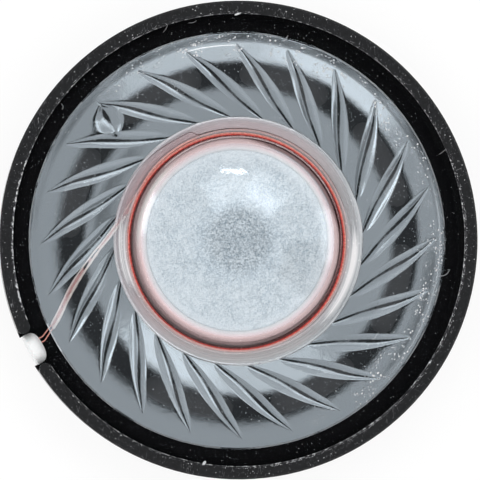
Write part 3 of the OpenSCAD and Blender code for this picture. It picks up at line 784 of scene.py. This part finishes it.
class SpeakerColors(bpy.types.PropertyGroup):
    """Colours of the finishes."""

    moulding: tint("Moulding", "Black basket", 0.006, 0.0065, 0.0075)
    film: tint("Film", "Tint of the film's gloss", 0.8, 0.91, 1.0)
    enamel: tint("Enamel", "Red enamel of the winding", 0.86, 0.05, 0.03)
    felt: tint("Felt", "White damping disc", 0.72, 0.775, 0.81)
    white_glue: tint("White glue", "Glue in the notch", 0.88, 0.89, 0.89)
    # Colour of the pale ridges over the leads: glue, and a painted highlight along each wire
    lead_glue: tint("Lead glue", "Glue over the leads", 1.0, 0.84, 0.81)
    steel: tint("Steel", "Plated cup", 0.66, 0.63, 0.63)
    board: tint("Board", "Solder mask", 0.03, 0.14, 0.05)
    cloth: tint("Vent cloth", "Cloth over the vents", 0.11, 0.112, 0.12)


def plain(colors):
    """Copies the colours as plain tuples, so that they mix with numbers."""
    return SimpleNamespace(**{name: tuple(getattr(colors, name)) for name in SpeakerColors.__annotations__})


class Maker:
    """What the operators share."""

    bl_options = {"REGISTER", "UNDO"}

    def execute(self, context):
        self.sizes = context.scene.speaker_sizes
        self.colors = plain(context.scene.speaker_colors)
        self.build()
        return {"FINISHED"}


class FinishBasket(Maker, bpy.types.Operator):
    """Gives the moulded basket its black finish"""

    bl_idname = "speaker.finish_basket"
    bl_label = "Basket"

    def build(self):
        coat(moulding_finish(self.colors), "frame")


class AddRimFlash(Maker, bpy.types.Operator):
    """Adds the torn flash on the rim, as flakes and as threads along its inner edge"""

    bl_idname = "speaker.add_rim_flash"
    bl_label = "Rim flash"

    def build(self):
        dice = np.random.default_rng(5)
        parts = []
        for turn in np.arange(0, 360, 0.42):
            left = float(plateau(150, 165, 198, 203, turn))
            low = float(max(smoothstep(262, 280, turn), 1 - smoothstep(8, 30, turn)))
            top = float(plateau(88, 100, 140, 150, turn)) * 0.45
            clear = abs(turn - NOTCH) > 5.2
            if clear and dice.random() < 0.16 + max(0.8 * left, 0.55 * low, top):
                size = dice.uniform(0.4, 1.0) * (0.06 + 0.08 * left + 0.03 * low)
                parts.append(self.flake(dice, turn, dice.uniform(-0.015, 0.05) + size * 0.5, size))
            if clear and dice.random() < 0.2 + 0.7 * low + 0.25 * top:
                out, size = dice.uniform(0.13, 0.19), dice.uniform(0.025, 0.06)
                parts.append(self.flake(dice, turn + 0.2, out, size))
        turn = NOTCH + 6
        while turn < NOTCH + 352:
            span = dice.uniform(0.5, 3.2)
            a = np.arange(turn, min(turn + span, NOTCH + 354), 0.3)
            strong = 1 + 0.8 * float(plateau(150, 165, 195, 202, turn % 360))
            size = 0.012 * strong * (0.6 + 1.2 * np.abs(ripple(a * 0.5, a * 0, 6, 6, 0.6, 3.0)))
            if len(a) > 3:
                size[[0, -1]] = 0.004
                r = RIM_IN + 0.03 + 0.015 * ripple(a * 0.3, a * 0, 12, 5, 0.1, 0.9)
                parts.append(tube(polar(r, a, RIM_Z + 0.004), size, 5))
            turn += span + dice.uniform(0.1, 0.8)
        flash = make_piece("rim_flash", *joined(parts), flash_finish(), smooth=False)
        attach(flash, "basket")

    @staticmethod
    def flake(dice, turn, out, size):
        """One torn flake on the rim, out millimetres from its inner edge."""
        n = 7
        a = np.sort(dice.uniform(0, 2 * math.pi, n))
        flat = np.stack([np.cos(a) * size * 0.5, np.sin(a) * size * 0.5 * dice.uniform(1.0, 2.6)], -1)
        c, s = math.cos(math.radians(turn)), math.sin(math.radians(turn))
        middle = (RIM_IN + out) * np.array([c, s])
        xy = middle + flat[:, :1] * [c, s] + flat[:, 1:] * [-s, c]
        rim = np.column_stack([xy, RIM_Z + dice.uniform(0.004, 0.02, n)])
        base = np.column_stack([xy * (1 - 0.0004), np.full(n, RIM_Z - 0.01)])
        faces = fan(0, n, 2 * n) + [list(range(2 * n - 1, n - 1, -1))]
        faces += [[n + i, n + (i + 1) % n, (i + 1) % n, i] for i in range(n)]
        return np.concatenate([rim, base, [[*middle, RIM_Z + dice.uniform(0.012, 0.032)]]]), faces


class AddDust(Maker, bpy.types.Operator):
    """Adds the dust grains and the lint that lie on the rim and in the recess"""

    bl_idname = "speaker.add_dust"
    bl_label = "Dust and lint"

    # Places read on a square grid, across and down from its corner, and its step in millimetres
    grid = 0.0751
    # The axis on the grid, as it was read for the grains and for the strands
    grains_middle, strands_middle = (239.4, 239.9), (237.6, 240.1)
    # Place, size and length of each large grain
    large_grains = ((237.0, 14.0, 0.1, 2.6), (204.0, 463.0, 0.13, 1.7), (240.0, 13.0, 0.06, 1.5))
    strands = (
        ((288.5, 33.5), (286, 37.5), (284, 40)),
        ((452, 269), (449, 273.5), (445, 275.5), (440, 276)),
        ((166, 25), (165, 28), (162.5, 31)),
        ((445, 149), (443, 152), (441, 153)),
        ((196, 19), (193, 21), (188, 21.5)),
        ((373, 340), (376, 338), (380, 332)),
        ((60, 103), (62, 106), (61, 109)),
    )

    def build(self):
        dice = np.random.default_rng(11)
        material = dust_finish()
        parts = []
        for i in range(self.sizes.dust):
            top = i % 5 != 0
            span = (RIM_IN + 0.08, RIM_R - 0.15) if top else (FOOT_R + 0.15, FILM_R - 0.1)
            r = dice.uniform(*span)
            turn = dice.uniform(0, 360)
            if abs(turn - NOTCH) < 6:
                continue
            size = dice.uniform(0.018, 0.05) * (1.0 if top else 0.6)
            z = (RIM_Z if top else FOOT_Z + FILM_T) + size * 0.2
            parts.append(self.grain(dice, polar(r, turn, z), size))
        for x, y, size, long in self.large_grains:
            at = np.array([*self.on_grid(x, y, self.grains_middle), RIM_Z + 0.01])
            parts.append(self.grain(dice, at, size, long))
        grains = make_piece("dust_grains", *joined(parts), material)
        parts = []
        for strand in self.strands:
            flat = np.array([self.on_grid(x, y, self.strands_middle) for x, y in strand])
            r = np.hypot(*flat.T)
            curl = 0.05 * np.sin(np.linspace(0, 3, len(r)))
            z = np.where(r > RIM_IN, RIM_Z + 0.02, FOOT_Z + FILM_T + 0.03 + curl)
            path = smooth_path(np.column_stack([flat, z]), 6)
            parts.append(tube(path, 0.014 * (1 - 0.5 * np.linspace(-1, 1, len(path)) ** 4), 6))
        lint = make_piece("lint", *joined(parts), material)
        for piece in (grains, lint):
            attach(piece, "basket")

    def on_grid(self, x, y, middle):
        """A place on the grid, in millimetres from the axis."""
        return (x - middle[0]) * self.grid, (middle[1] - y) * self.grid

    @staticmethod
    def grain(dice, at, size, long=1.0):
        """One small irregular grain."""
        n = 6
        turn = np.radians(np.arange(0, 360, 360 // n))
        way = dice.uniform(0, 3.1)
        rows = [np.array([[0, 0, -0.5]])]
        for lift, wide in ((-0.3, 0.8), (0.2, 0.9)):
            rim = np.column_stack([np.cos(turn), np.sin(turn), np.full(n, lift)]) * [wide * long, wide, 1]
            rows.append(rim * dice.uniform(0.7, 1.2, (n, 1)))
        rows.append(np.array([[0, 0, 0.6]]))
        p = np.concatenate(rows) * size
        c, s = math.cos(way), math.sin(way)
        p[:, :2] = p[:, :2] @ np.array([[c, s], [-s, c]])
        faces = [[0, 1 + (i + 1) % n, 1 + i] for i in range(n)] + grid_faces(2, n, True, 1)
        return p + at, faces + [[2 * n + 1, n + 1 + i, n + 1 + (i + 1) % n] for i in range(n)]


class FinishMagnet(Maker, bpy.types.Operator):
    """Gives the cup, magnet, pole plate and their glue lines their finishes"""

    bl_idname = "speaker.finish_magnet"
    bl_label = "Magnet system"

    def build(self):
        coat(steel_finish("plated_cup", self.colors.steel, (0.68, 0.6, 0.63)), "yoke")
        coat(steel_finish("plated_magnet", (0.55, 0.56, 0.58), (0.6, 0.6, 0.6), 6.0, 0.22), "magnet")
        coat(steel_finish("plated_pole", (0.8, 0.7, 0.69), (0.84, 0.62, 0.63), 10.0, 0.35), "pole_plate")
        coat(clear_glue_finish("cup_glue", (0.5, 0.42, 0.26), 0.7), "yoke_adhesive")
        coat(clear_glue_finish("magnet_glue", (0.3, 0.36, 0.2), 0.8), "magnet_adhesive", "plate_adhesive")
        coat(clear_glue_finish("ledge_glue", (0.004, 0.004, 0.005), 0.5, 0.1), "flange_adhesive")


class AddFelt(Maker, bpy.types.Operator):
    """Adds the fibrous damping disc on the pole plate"""

    bl_idname = "speaker.add_felt"
    bl_label = "Damping disc"

    def build(self):
        rings = np.concatenate([np.linspace(0.15, FELT_R - 0.1, 46), [FELT_R - 0.04, FELT_R]])
        turn = np.arange(0, 360, 1.25)
        r, a = np.meshgrid(rings, turn, indexing="ij")
        flat = r * np.cos(np.radians(a)), r * np.sin(np.radians(a))
        rag = 1 + 0.006 * ripple(*flat, 3, 8, 0.5, 2.5) * (r > FELT_R - 0.2)
        p = polar(np.minimum(r * rag, FELT_R), a, 0)
        x, y = p[..., 0], p[..., 1]
        low, high = CUP_Z, top_of("damping_disc")
        z = high - 0.03 + 0.016 * ripple(x, y, 7, 9, 0.3, 1.1) + 0.01 * ripple(x, y, 8, 12, 1.2, 2.6)
        z = np.where(r > FELT_R - 0.07, z - 0.05 * (r - FELT_R + 0.07) / 0.07, z)
        top = np.stack([x, y, z], -1)
        foot = [0, 0, low + 0.004]
        rows = np.concatenate([top, [p[-1] * [1, 1, 0] + foot], [p[-1] * [0.5, 0.5, 0] + foot]])
        points = np.concatenate([rows.reshape(-1, 3), [[0, 0, high - 0.03], foot]])
        n, m = len(turn), len(rows)
        faces = flipped(grid_faces(m, n, True)) + fan(0, n, m * n)
        faces += [[(m - 1) * n + (j + 1) % n, (m - 1) * n + j, m * n + 1] for j in range(n)]
        material = felt_finish("white_felt", self.colors.felt)
        disc = make_piece("felt_disc", points, faces, material)
        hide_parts("damping_disc")
        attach(disc, "basket")
        self.add_fibres(material, high)

    def add_fibres(self, material, high):
        """Loose fibres that lie on the disc."""
        dice = np.random.default_rng(21)
        parts = []
        for _ in range(self.sizes.felt_fibres):
            r, turn = FELT_R * math.sqrt(dice.random()) * 0.96, dice.uniform(0, 2 * math.pi)
            way, length, curl = dice.uniform(0, 2 * math.pi), dice.uniform(0.5, 1.8), dice.uniform(-1.2, 1.2)
            t = np.linspace(-0.5, 0.5, 7)
            heading = way + curl * t
            steps = np.column_stack([np.cos(heading), np.sin(heading)]) * length / 6
            xy = np.cumsum(steps, axis=0) + [r * math.cos(turn), r * math.sin(turn)]
            far = np.hypot(*xy.T)
            xy *= np.minimum(1, (FELT_R - 0.02) / np.maximum(far, 1e-6))[:, None]
            z = high - 0.016 + 0.008 * np.cos(t * 6) + 0.01 * ripple(xy[:, 0], xy[:, 1], 8, 4)
            parts.append(tube(np.column_stack([xy, z]), dice.uniform(0.005, 0.009), 3))
        fibres = make_piece("felt_fibres", *joined(parts), material)
        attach(fibres, "basket")


class AddWinding(Maker, bpy.types.Operator):
    """Adds the voice coil's winding, turn by turn, and finishes its glue fillet"""

    bl_idname = "speaker.add_winding"
    bl_label = "Voice coil"

    def build(self):
        wire = self.sizes.wire / MM
        layers, turns, steps = 4, 18, 108
        bottom = COIL_TOP - 1.9
        parts = []
        for layer in range(layers):
            r = COIL_IN + 0.04 + (layer + 0.5) * (COIL_R - COIL_IN) / layers
            t = np.linspace(0, turns, turns * steps + 1)
            z = bottom + wire / 2 + t * wire
            if layer % 2:
                z = z[::-1]
            stray = 0.006 * ripple(t * 3, np.full_like(t, layer), 40 + layer, 5, 0.1, 0.5) * 0.4
            z = np.minimum(z, COIL_TOP - wire / 2 - 0.001)
            path = polar(np.full_like(t, r) + stray, 147 + 31 * layer + t * 360, z)
            parts.append(tube(path + [*WINDING_OFF, 0], wire * 0.5, 6))
        winding = make_piece("winding", *joined(parts), enamel_finish("red_enamel", self.colors))
        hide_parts("voice_coil")
        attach(winding, "moving_coil")
        coat(clear_glue_finish("coil_glue", (0.9, 0.66, 0.64), 0.4), "coil_adhesive")


class AddFilm(Maker, bpy.types.Operator):
    """Adds the clear film with its dome, seat, pleats and flange"""

    bl_idname = "speaker.add_film"
    bl_label = "Film diaphragm"

    def build(self):
        rings = np.unique(np.round(np.concatenate([
            np.linspace(0.3, 6.9, 23), np.linspace(7.0, 7.95, 20), np.linspace(8.02, 9.16, 19),
            np.linspace(9.2, 9.54, 15), np.linspace(9.6, 14.9, 48), np.linspace(14.95, 15.55, 9),
            np.linspace(15.6, 15.82, 12), np.linspace(15.9, FILM_R, 5)]), 4))
        flank = np.array([0, 0.12, 0.25, 0.39, 0.54, 0.7, 0.85, 0.95])
        land = np.array([0, 0.03, 0.1, 0.2, 0.32, 0.44, 0.56, 0.68, 0.8, 0.9, 0.97])
        pitch = 360 / PLEATS
        rows = []
        for r in rings:
            half = float(pleat_half(r, self.sizes.pleat_width / MM))
            offset = np.concatenate([
                flank * half, half + land * (pitch - 2 * half), pitch - flank[:0:-1] * half])
            across = np.concatenate([flank, np.full(len(land), 1.0), flank[:0:-1]])
            on_land = np.concatenate([flank * 0, land, flank[:0:-1] * 0])
            for i in range(PLEATS):
                turn = PLEAT_START + i * pitch + float(pleat_turn(r)) + offset
                rows.append(self.height(r, turn, across, on_land, half))
        wide = len(rows[0])
        points = np.concatenate([np.array(rows).reshape(-1, 3), [[0, 0, float(film_under(0)) + FILM_T / 2]]])
        n = PLEATS * wide
        faces = flipped(grid_faces(len(rings), n, True)) + fan(0, n, len(points) - 1)
        film = make_piece("film", points, faces, film_finish(self.colors))
        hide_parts("diaphragm")
        bend_with_film(film)

    def height(self, r, turn, across, on_land, half):
        """Points of one pleat and the land beside it at radius r."""
        depth = self.sizes.pleat_depth / MM
        form = float(pleat_form(r)) if CREASE_R < r < TIP_R else 0.0
        shallow = form ** (0.5 * (1 - float(smoothstep(CREASE_R, 12.0, r))))
        z = float(film_under(r)) - depth * form * shallow * (1 - across**2)
        x, y = r * np.cos(np.radians(turn)), r * np.sin(np.radians(turn))
        off = float(plateau(8.5, 9.15, TIP_R, FOOT_R - 0.1, r))
        x, y = x + PLEATS_OFF[0] * off, y + PLEATS_OFF[1] * off
        on_arch = float(plateau(CREASE_R + 0.3, CREASE_R + 1.2, FOOT_R - 0.6, FOOT_R, r))
        z = z + 0.006 * on_arch * ripple(x, y, 31, 5, 0.12, 0.35)
        z = z - self.dent(x, y) * on_arch
        seat = float(plateau(7.95, 8.2, 9.0, 9.2, r))
        rings = np.sin((r - 8) * 13 + 1.3 * ripple(x, y, 35, 4, 0.02, 0.06))
        z = z + 0.007 * seat * rings * (0.6 + 0.5 * ripple(x, y, 36, 3, 0.02, 0.05))
        slope = 0.035 * (min(max(r, 14.95), 15.65) - 15.65) * float(smoothstep(13.4, 14.95, r))
        z = z + slope * np.cos(np.radians(turn - 50))
        wobble = 0.02 * ripple(x, y, 33, 4, 0.05, 0.3)
        z = z + 0.008 * np.exp(-(((r - FOOT_R + 0.06 - wobble) / 0.04) ** 2))
        return np.column_stack([x, y, z + FILM_T / 2])

    @staticmethod
    def dent(x, y):
        """Depth of the dimple pressed into one land, upper left."""
        way = math.radians(-62)
        dx, dy = x + 9.72, y - 9.03
        along, over = dx * math.cos(way) + dy * math.sin(way), -dx * math.sin(way) + dy * math.cos(way)
        form = np.clip(1 - (along / 1.38) ** 2, 0, 1)
        share = np.clip(np.abs(over) / (1.08 * np.maximum(form, 0.02)), 0, 1)
        return 0.27 * form**0.85 * (1 - share**1.35)


def over_surround(route, steps):
    """Way of a lead below the film, from the coil to the ledge."""
    share, turn = np.array(route).T
    r = COIL_R + LEAD_OFF + share * (FOOT_R - COIL_R - LEAD_OFF)
    return smooth_path(polar(r, turn, lead_roof(r) - LEAD_DROP), steps)


def lead_way(route, y, pad_y):
    """Way of one lead from the coil to its contact pad."""
    over = over_surround(route, 6)
    board_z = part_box("terminal_board")[0].z / MM - 0.05
    back = [
        (FOOT_R + 0.65, 0, NOTCH_WIRE_Z + 0.05), (RIM_IN + 0.13, 0, NOTCH_WIRE_Z), (17.47, 0, NOTCH_WIRE_Z),
        (17.6, 0, NOTCH_WIRE_Z - 0.13), (17.6, 0, 2.3), (17.47, 0.1, 1.85), (16.77, 0.4, 1.05),
        (15.57, 0.8, board_z - 0.2), (15.0, 1, board_z - 0.1),
    ]
    rest = smooth_path([at_notch(x, y + (pad_y - y) * share, z) for x, share, z in back], 6)
    return np.concatenate([over, rest])


class AddLeads(Maker, bpy.types.Operator):
    """Adds the two lead wires from the coil to the board"""

    bl_idname = "speaker.add_leads"
    bl_label = "Lead wires"

    def build(self):
        material = enamel_finish("red_lead", self.colors)
        wire_r = self.sizes.wire / MM / 2
        for name, node, route, y, side in (
            ("start_lead", "lead_wire_start", START_ROUTE, LEAD_Y[0], -PAD_Y),
            ("finish_lead", "lead_wire_finish", FINISH_ROUTE, LEAD_Y[1], PAD_Y),
        ):
            lead = make_piece(name, *tube(lead_way(route, y, side), wire_r, 10), material)
            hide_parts(node)
            bend_with_film(lead)
        turn = np.linspace(112, 148, 30)
        beside = polar(COIL_R + 0.065 - 0.04 * smoothstep(118, 112, turn), turn, SEAT_Z - 0.055)
        tail = make_piece("start_tail", *tube(beside, wire_r, 8), material)
        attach(tail, "moving_coil")


class AddLeadGlue(Maker, bpy.types.Operator):
    """Adds the glue that holds the leads to the film, with pale ridges along the wires that are partly a
    painted highlight, and its smear beside the coil
    """

    bl_idname = "speaker.add_lead_glue"
    bl_label = "Glue on the leads"

    def build(self):
        a, b = self.sampled(START_ROUTE), self.sampled(FINISH_ROUTE)
        dice = np.random.default_rng(3)
        n = len(a)
        t = np.linspace(0, 1, n)
        over = b - a
        gap = np.linalg.norm(over[:, :2], axis=1)[:, None]
        over = over / np.maximum(gap, 1e-6)
        margin = (0.045 + 0.02 * ripple(t * 30, t * 0, 9, 5, 0.1, 0.9))[:, None]
        rows = []
        for u in np.linspace(0, 1, 9):
            lift = 0.052 + 0.012 * math.sin(math.pi * u) - 0.03 * (abs(2 * u - 1) ** 6)
            rows.append(a - over * margin + (b - a + 2 * over * margin) * u + [0, 0, lift])
        sheet = np.stack(rows, 1)
        faces = []
        for k, face in enumerate(flipped(grid_faces(n, 9))):
            i, j = divmod(k, 8)
            wide = gap[i, 0] > 0.16 and 2 <= j <= 5
            torn = 0.27 < t[i] < 0.36 or 0.4 < t[i] < 0.47 or dice.random() < 0.04
            if not (wide and torn):
                faces.append(face)
        thin = clear_glue_finish("lead_glue", (0.9, 0.52, 0.5), 0.62)
        glue = make_piece("lead_glue", sheet.reshape(-1, 3), faces, thin)
        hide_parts("lead_adhesive")
        ridges = []
        # Pale ridges along each lead: glue, and a painted highlight along each wire's top
        for way, wide, aside, seed in ((a, 0.062, -0.02, 51), (b, 0.092, 0.05, 52)):
            size = wide + 0.3 * wide * ripple(t * 24, t * 0, seed, 5, 0.15, 0.9)
            size[[0, -1]] = 0.01
            ridges.append(tube(way + over * aside + [0, 0, 0.05], size, 6, 0.6))
        ridge_glue_and_sheen = clear_glue_finish("lead_ridge_glue", self.colors.lead_glue, 0.85)
        pale = make_piece("lead_glue_ridges", *joined(ridges), ridge_glue_and_sheen)
        for piece in (glue, pale):
            bend_with_film(piece)
        self.add_smear()

    @staticmethod
    def sampled(route):
        """Even samples along a lead, over the part of its way that is glued."""
        path = over_surround(route, 12)
        q = (np.hypot(path[:, 0], path[:, 1]) - COIL_R) / (FOOT_R - COIL_R)
        keep = np.linspace(0.04, 0.965, 90)
        return np.stack([np.interp(keep, q, path[:, k]) for k in range(3)], -1)

    def add_smear(self):
        """The smear and its darker outline, along the outside of the coil."""
        turn = np.linspace(110, 172, 64)
        outer = 8.5 + 0.42 * smoothstep(110, 114, turn) + 0.35 * smoothstep(116, 152, turn)
        outer = outer + 0.09 * smoothstep(150, 165, turn)
        outer = outer + 0.02 * ripple(turn * 0.05, turn * 0, 4, 4, 0.3, 1.2)
        inner = np.full_like(turn, COIL_R + 0.03)
        shares = np.linspace(0, 1, 7)
        rows = [polar(inner + (outer - inner) * u, turn, SEAT_Z - 0.03 - 0.02 * u**4) for u in shares]
        points, faces = np.stack(rows, 1).reshape(-1, 3), grid_faces(len(turn), len(rows))
        pale = clear_glue_finish("smear_glue", (0.62, 0.42, 0.44), 0.3)
        smear = make_piece("coil_smear", points, faces, pale)
        path = np.concatenate([polar(np.linspace(COIL_R + 0.05, 8.5, 5)[:-1], 110, SEAT_Z - 0.04), rows[-1]])
        dark = clear_glue_finish("smear_edge_glue", (0.2, 0.07, 0.07), 0.7)
        line = make_piece("smear_edge", *tube(path, 0.035, 6, 0.6), dark)
        for piece in (smear, line):
            bend_with_film(piece)


class AddNotchGlue(Maker, bpy.types.Operator):
    """Adds the blob of white glue in the notch"""

    bl_idname = "speaker.add_notch_glue"
    bl_label = "Glue in the notch"

    def build(self):
        material = white_glue_finish(self.colors)
        a = np.radians(np.arange(0, 360, 6))
        outward, sideways = (np.sign(way) * np.abs(way) ** 0.7 for way in (np.cos(a), np.sin(a)))
        reach = outward * np.where(np.cos(a) > 0, 0.3, 0.92)
        wide = sideways * 1.24
        foot_z = FOOT_Z + FILM_T
        inner = np.clip(BLOB_R + reach, 17.0, 17.85), np.clip(wide, -1.1, 1.1)
        foot = [notch_ring(*inner, z) for z in (LEDGE_Z - 0.4, foot_z + 0.02)]
        rows = []
        for t in np.linspace(0, 0.985, 15):
            up = math.sin(t * math.pi / 2)
            shrink = math.cos(t * math.pi / 2) ** 0.75
            z = foot_z + 0.05 + up * (RIM_Z - 0.35 - FOOT_Z)
            rows.append(notch_ring(BLOB_R + reach * shrink, wide * shrink, z))
        apex = at_notch(BLOB_R, 0, RIM_Z - 0.35 + FILM_T + 0.05)
        blob = make_piece("notch_blob", *domed(foot + rows, apex), material)
        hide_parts("notch_glue")
        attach(blob, "basket")


class AddVentCloth(Maker, bpy.types.Operator):
    """Adds the thin cloth over the vents, which gives a little at each of them"""

    bl_idname = "speaker.add_vent_cloth"
    bl_label = "Vent cloth"

    def build(self):
        high_z = top_of("vent_cloth")
        rings = np.linspace(CLOTH_IN, CLOTH_OUT, 20)
        turn = np.linspace(NOTCH + CLOTH_FREE, NOTCH + 360 - CLOTH_FREE, 260)
        r, a = np.meshgrid(rings, turn, indexing="ij")
        sag = np.zeros_like(r)
        for i in range(1, VENT_PLACES):
            off = np.abs((a - NOTCH - i * VENT_PITCH + 180) % 360 - 180)
            across = np.abs(r - VENT_R)
            sag = np.maximum(sag, (1 - smoothstep(8, 15.5, off)) * (1 - smoothstep(0.35, 1.0, across)))
        p = polar(r, a, 0)
        tangle = ripple(p[..., 0], p[..., 1], 14, 10, 0.8, 2.2)
        back = high_z - 0.13 + 0.05 * sag + 0.008 * tangle
        inside = high_z - 0.012 + 0.004 * tangle
        top, bottom = p.copy(), p.copy()
        top[..., 2], bottom[..., 2] = inside, back
        m, n = r.shape
        points = np.concatenate([top.reshape(-1, 3), bottom.reshape(-1, 3)])
        faces = flipped(grid_faces(m, n)) + grid_faces(m, n, start=m * n)
        at = np.arange(m * n).reshape(m, n)
        edge = np.concatenate([at[0], at[1:, -1], at[-1, -2::-1], at[-2:0:-1, 0]]).tolist()
        faces += [[u, v, v + m * n, u + m * n] for u, v in zip(edge, edge[1:] + edge[:1])]
        material = felt_finish("vent_felt", self.colors.cloth, vents=True)
        cloth = make_piece("vent_sheet", points, faces, material)
        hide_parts("vent_cloth")
        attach(cloth, "basket")


class FinishBoard(Maker, bpy.types.Operator):
    """Finishes the terminal board and its pads, and adds the solder joints"""

    bl_idname = "speaker.finish_board"
    bl_label = "Terminal board"

    def build(self):
        coat(board_finish(self.colors), "terminal_board")
        coat(tin_finish("tinned_copper", (0.78, 0.6, 0.42), 0.28), "contact_pad_start", "contact_pad_finish")
        solder = tin_finish("solder", (0.76, 0.77, 0.78), 0.14)
        turn = np.arange(0, 360, 7.5)
        for name, node, side in (
            ("solder_start", "solder_joint_start", -1), ("solder_finish", "solder_joint_finish", 1),
        ):
            foot = top_of(node)
            rows = []
            for t in np.linspace(0, 0.985, 14):
                size = 0.65 * math.cos(t * math.pi / 2) ** 0.8 * (1 - 0.18 * math.sin(t * math.pi))
                wave = 1 + 0.05 * np.sin(np.radians(turn * 3 + 40 * side)) * (1 - t)
                wave = (wave + 0.03 * np.sin(np.radians(turn * 5))) * 0.97
                z = foot - 0.45 * math.sin(t * math.pi / 2)
                a = np.radians(turn)
                x, y = SOLDER_R + size * wave * np.cos(a), side * PAD_Y + size * wave * np.sin(a)
                rows.append(notch_ring(x, y, z))
            apex = at_notch(SOLDER_R, side * PAD_Y, foot - 0.45)
            joint = make_piece(name, *domed(rows, apex, hangs=True), solder)
            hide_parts(node)
            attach(joint, "basket")


class SetStage(Maker, bpy.types.Operator):
    """Sets the pale floor, the soft light and the camera"""

    bl_idname = "speaker.set_stage"
    bl_label = "Stage"

    def build(self):
        scene = bpy.context.scene
        scene.view_settings.view_transform = "Standard"
        self.add_floor()
        self.add_light(scene)
        target = Vector((*CAMERA_AIM, RIM_Z * MM))
        back = Vector(toward(CAMERA_LEAN, CAMERA_WAY))
        data = bpy.data.cameras.new("camera")
        data.sensor_width = SENSOR
        data.lens = SENSOR * CAMERA_FAR / CAMERA_VIEW
        data.clip_start = 0.01
        camera = bpy.data.objects.new("camera", data)
        camera.location = target + back * CAMERA_FAR
        right = Vector((0, 1, 0)).cross(back).normalized()
        up = back.cross(right)
        camera.rotation_mode = "QUATERNION"
        camera.rotation_quaternion = Matrix((right, up, back)).transposed().to_quaternion()
        scene.collection.objects.link(camera)
        scene.camera = camera

    def add_floor(self):
        """A wide pale floor that looks evenly lit from the camera."""
        s = Surface("pale_floor")
        cloud = s.noise(0.02)
        cloth = s.mix(cloud, (0.86, 0.86, 0.86), (0.9, 0.9, 0.9))
        plain_floor = s.add("ShaderNodeBsdfDiffuse", None, {"Color": cloth})
        white = s.add("ShaderNodeEmission", None, {"Color": (1, 1, 1, 1), "Strength": 1.04})
        ray = s.add("ShaderNodeLightPath").socket.node
        kinds = ("Is Camera Ray", "Is Glossy Ray", "Is Transmission Ray")
        direct, mirrored, through = (Value(s, ray.outputs[kind]) for kind in kinds)
        seen = direct.high(mirrored).high(through)
        s.show(s.add("ShaderNodeMixShader", None, {0: seen * 0.82, 1: plain_floor, 2: white}))
        turn = np.arange(0, 360, 6)
        rings, n, low = (12.0, 40.0, 200.0, 900.0), len(turn), -0.005
        points = np.concatenate([polar(r, turn, low) for r in rings] + [[[0, 0, low]]])
        faces = flipped(grid_faces(len(rings), n, True)) + fan(0, n, len(rings) * n)
        make_piece("floor", points, faces, s.material)

    def add_light(self, scene):
        """A soft tent with an opening for the camera, brighter and darker boxes, and a strip lamp."""
        scene.world = bpy.data.worlds.new("tent")
        s = Surface("tent", scene.world)
        way = s.add("ShaderNodeTexCoord", out="Generated")
        parts = s.add("ShaderNodeSeparateXYZ", inputs={0: way}).socket.node
        x, y, z = (Value(s, socket) for socket in parts.outputs)
        lean = z.arccosine() * math.degrees(1)
        turn = y.arctan(x) * math.degrees(1)
        middle = toward(CAMERA_LEAN, CAMERA_WAY - 180)
        facing = x * middle[0] + y * middle[1] + z * middle[2]
        tent = facing.ramp(math.cos(math.radians(10)), math.cos(math.radians(17)))
        sky = 0.98 + lean.ramp(25.0, 50.0) * 0.3 - lean.ramp(62.0, 84.0) * 0.75
        for middle_turn, half_turn, middle_lean, half_lean, power in (
            (75, 41, 19, 9, 0.85), (54, 18, 27, 6, 0.8), (160, 13, 43, 7, 2.0), (4, 15, 47, 7, 1.2),
            (343, 18, 33, 9, -0.55),
        ):
            box = turn.away(middle_turn).ramp(half_turn + 4.0, half_turn - 4.0)
            sky = sky + box * lean.about(middle_lean, half_lean + 3.0, half_lean - 3.0) * power
        level = tent * sky * self.sizes.light
        glow = s.add("ShaderNodeBackground", None, {"Color": (1.0, 1.0, 1.0, 1.0), "Strength": level})
        s.show(glow, "ShaderNodeOutputWorld")
        data = bpy.data.lights.new("strip_light", "AREA")
        data.shape = "RECTANGLE"
        data.size, data.size_y = 0.09, 0.008
        data.energy = 0.02
        lamp = bpy.data.objects.new("strip_light", data)
        way = Vector(toward(LAMP_LEAN, LAMP_WAY))
        lamp.location = way * LAMP_FAR
        lamp.rotation_mode = "QUATERNION"
        lamp.rotation_quaternion = way.to_track_quat("Z", "Y")
        scene.collection.objects.link(lamp)


OPERATORS = (
    FinishBasket, AddRimFlash, FinishMagnet, AddFelt, AddWinding, AddFilm, AddLeads, AddLeadGlue,
    AddNotchGlue, AddDust, AddVentCloth, FinishBoard, SetStage,
)


class SpeakerPanel(bpy.types.Panel):
    """Lists the pieces of the loudspeaker"""

    bl_idname = "VIEW3D_PT_speaker"
    bl_label = "Loudspeaker"
    bl_space_type = "VIEW_3D"
    bl_region_type = "UI"
    bl_category = "Loudspeaker"

    def draw(self, context):
        layout = self.layout
        for group in (context.scene.speaker_sizes, context.scene.speaker_colors):
            for name in type(group).__annotations__:
                layout.prop(group, name)
        for operator in OPERATORS:
            layout.operator(operator.bl_idname)


CLASSES = (SpeakerSizes, SpeakerColors, *OPERATORS, SpeakerPanel)


def register():
    for cls in CLASSES:
        bpy.utils.register_class(cls)
    bpy.types.Scene.speaker_sizes = PointerProperty(type=SpeakerSizes)
    bpy.types.Scene.speaker_colors = PointerProperty(type=SpeakerColors)


def unregister():
    del bpy.types.Scene.speaker_colors
    del bpy.types.Scene.speaker_sizes
    for cls in reversed(CLASSES):
        bpy.utils.unregister_class(cls)


def main():
    register()
    for operator in OPERATORS:
        group, name = operator.bl_idname.split(".")
        getattr(getattr(bpy.ops, group), name)()


if __name__ == "__main__":
    main()
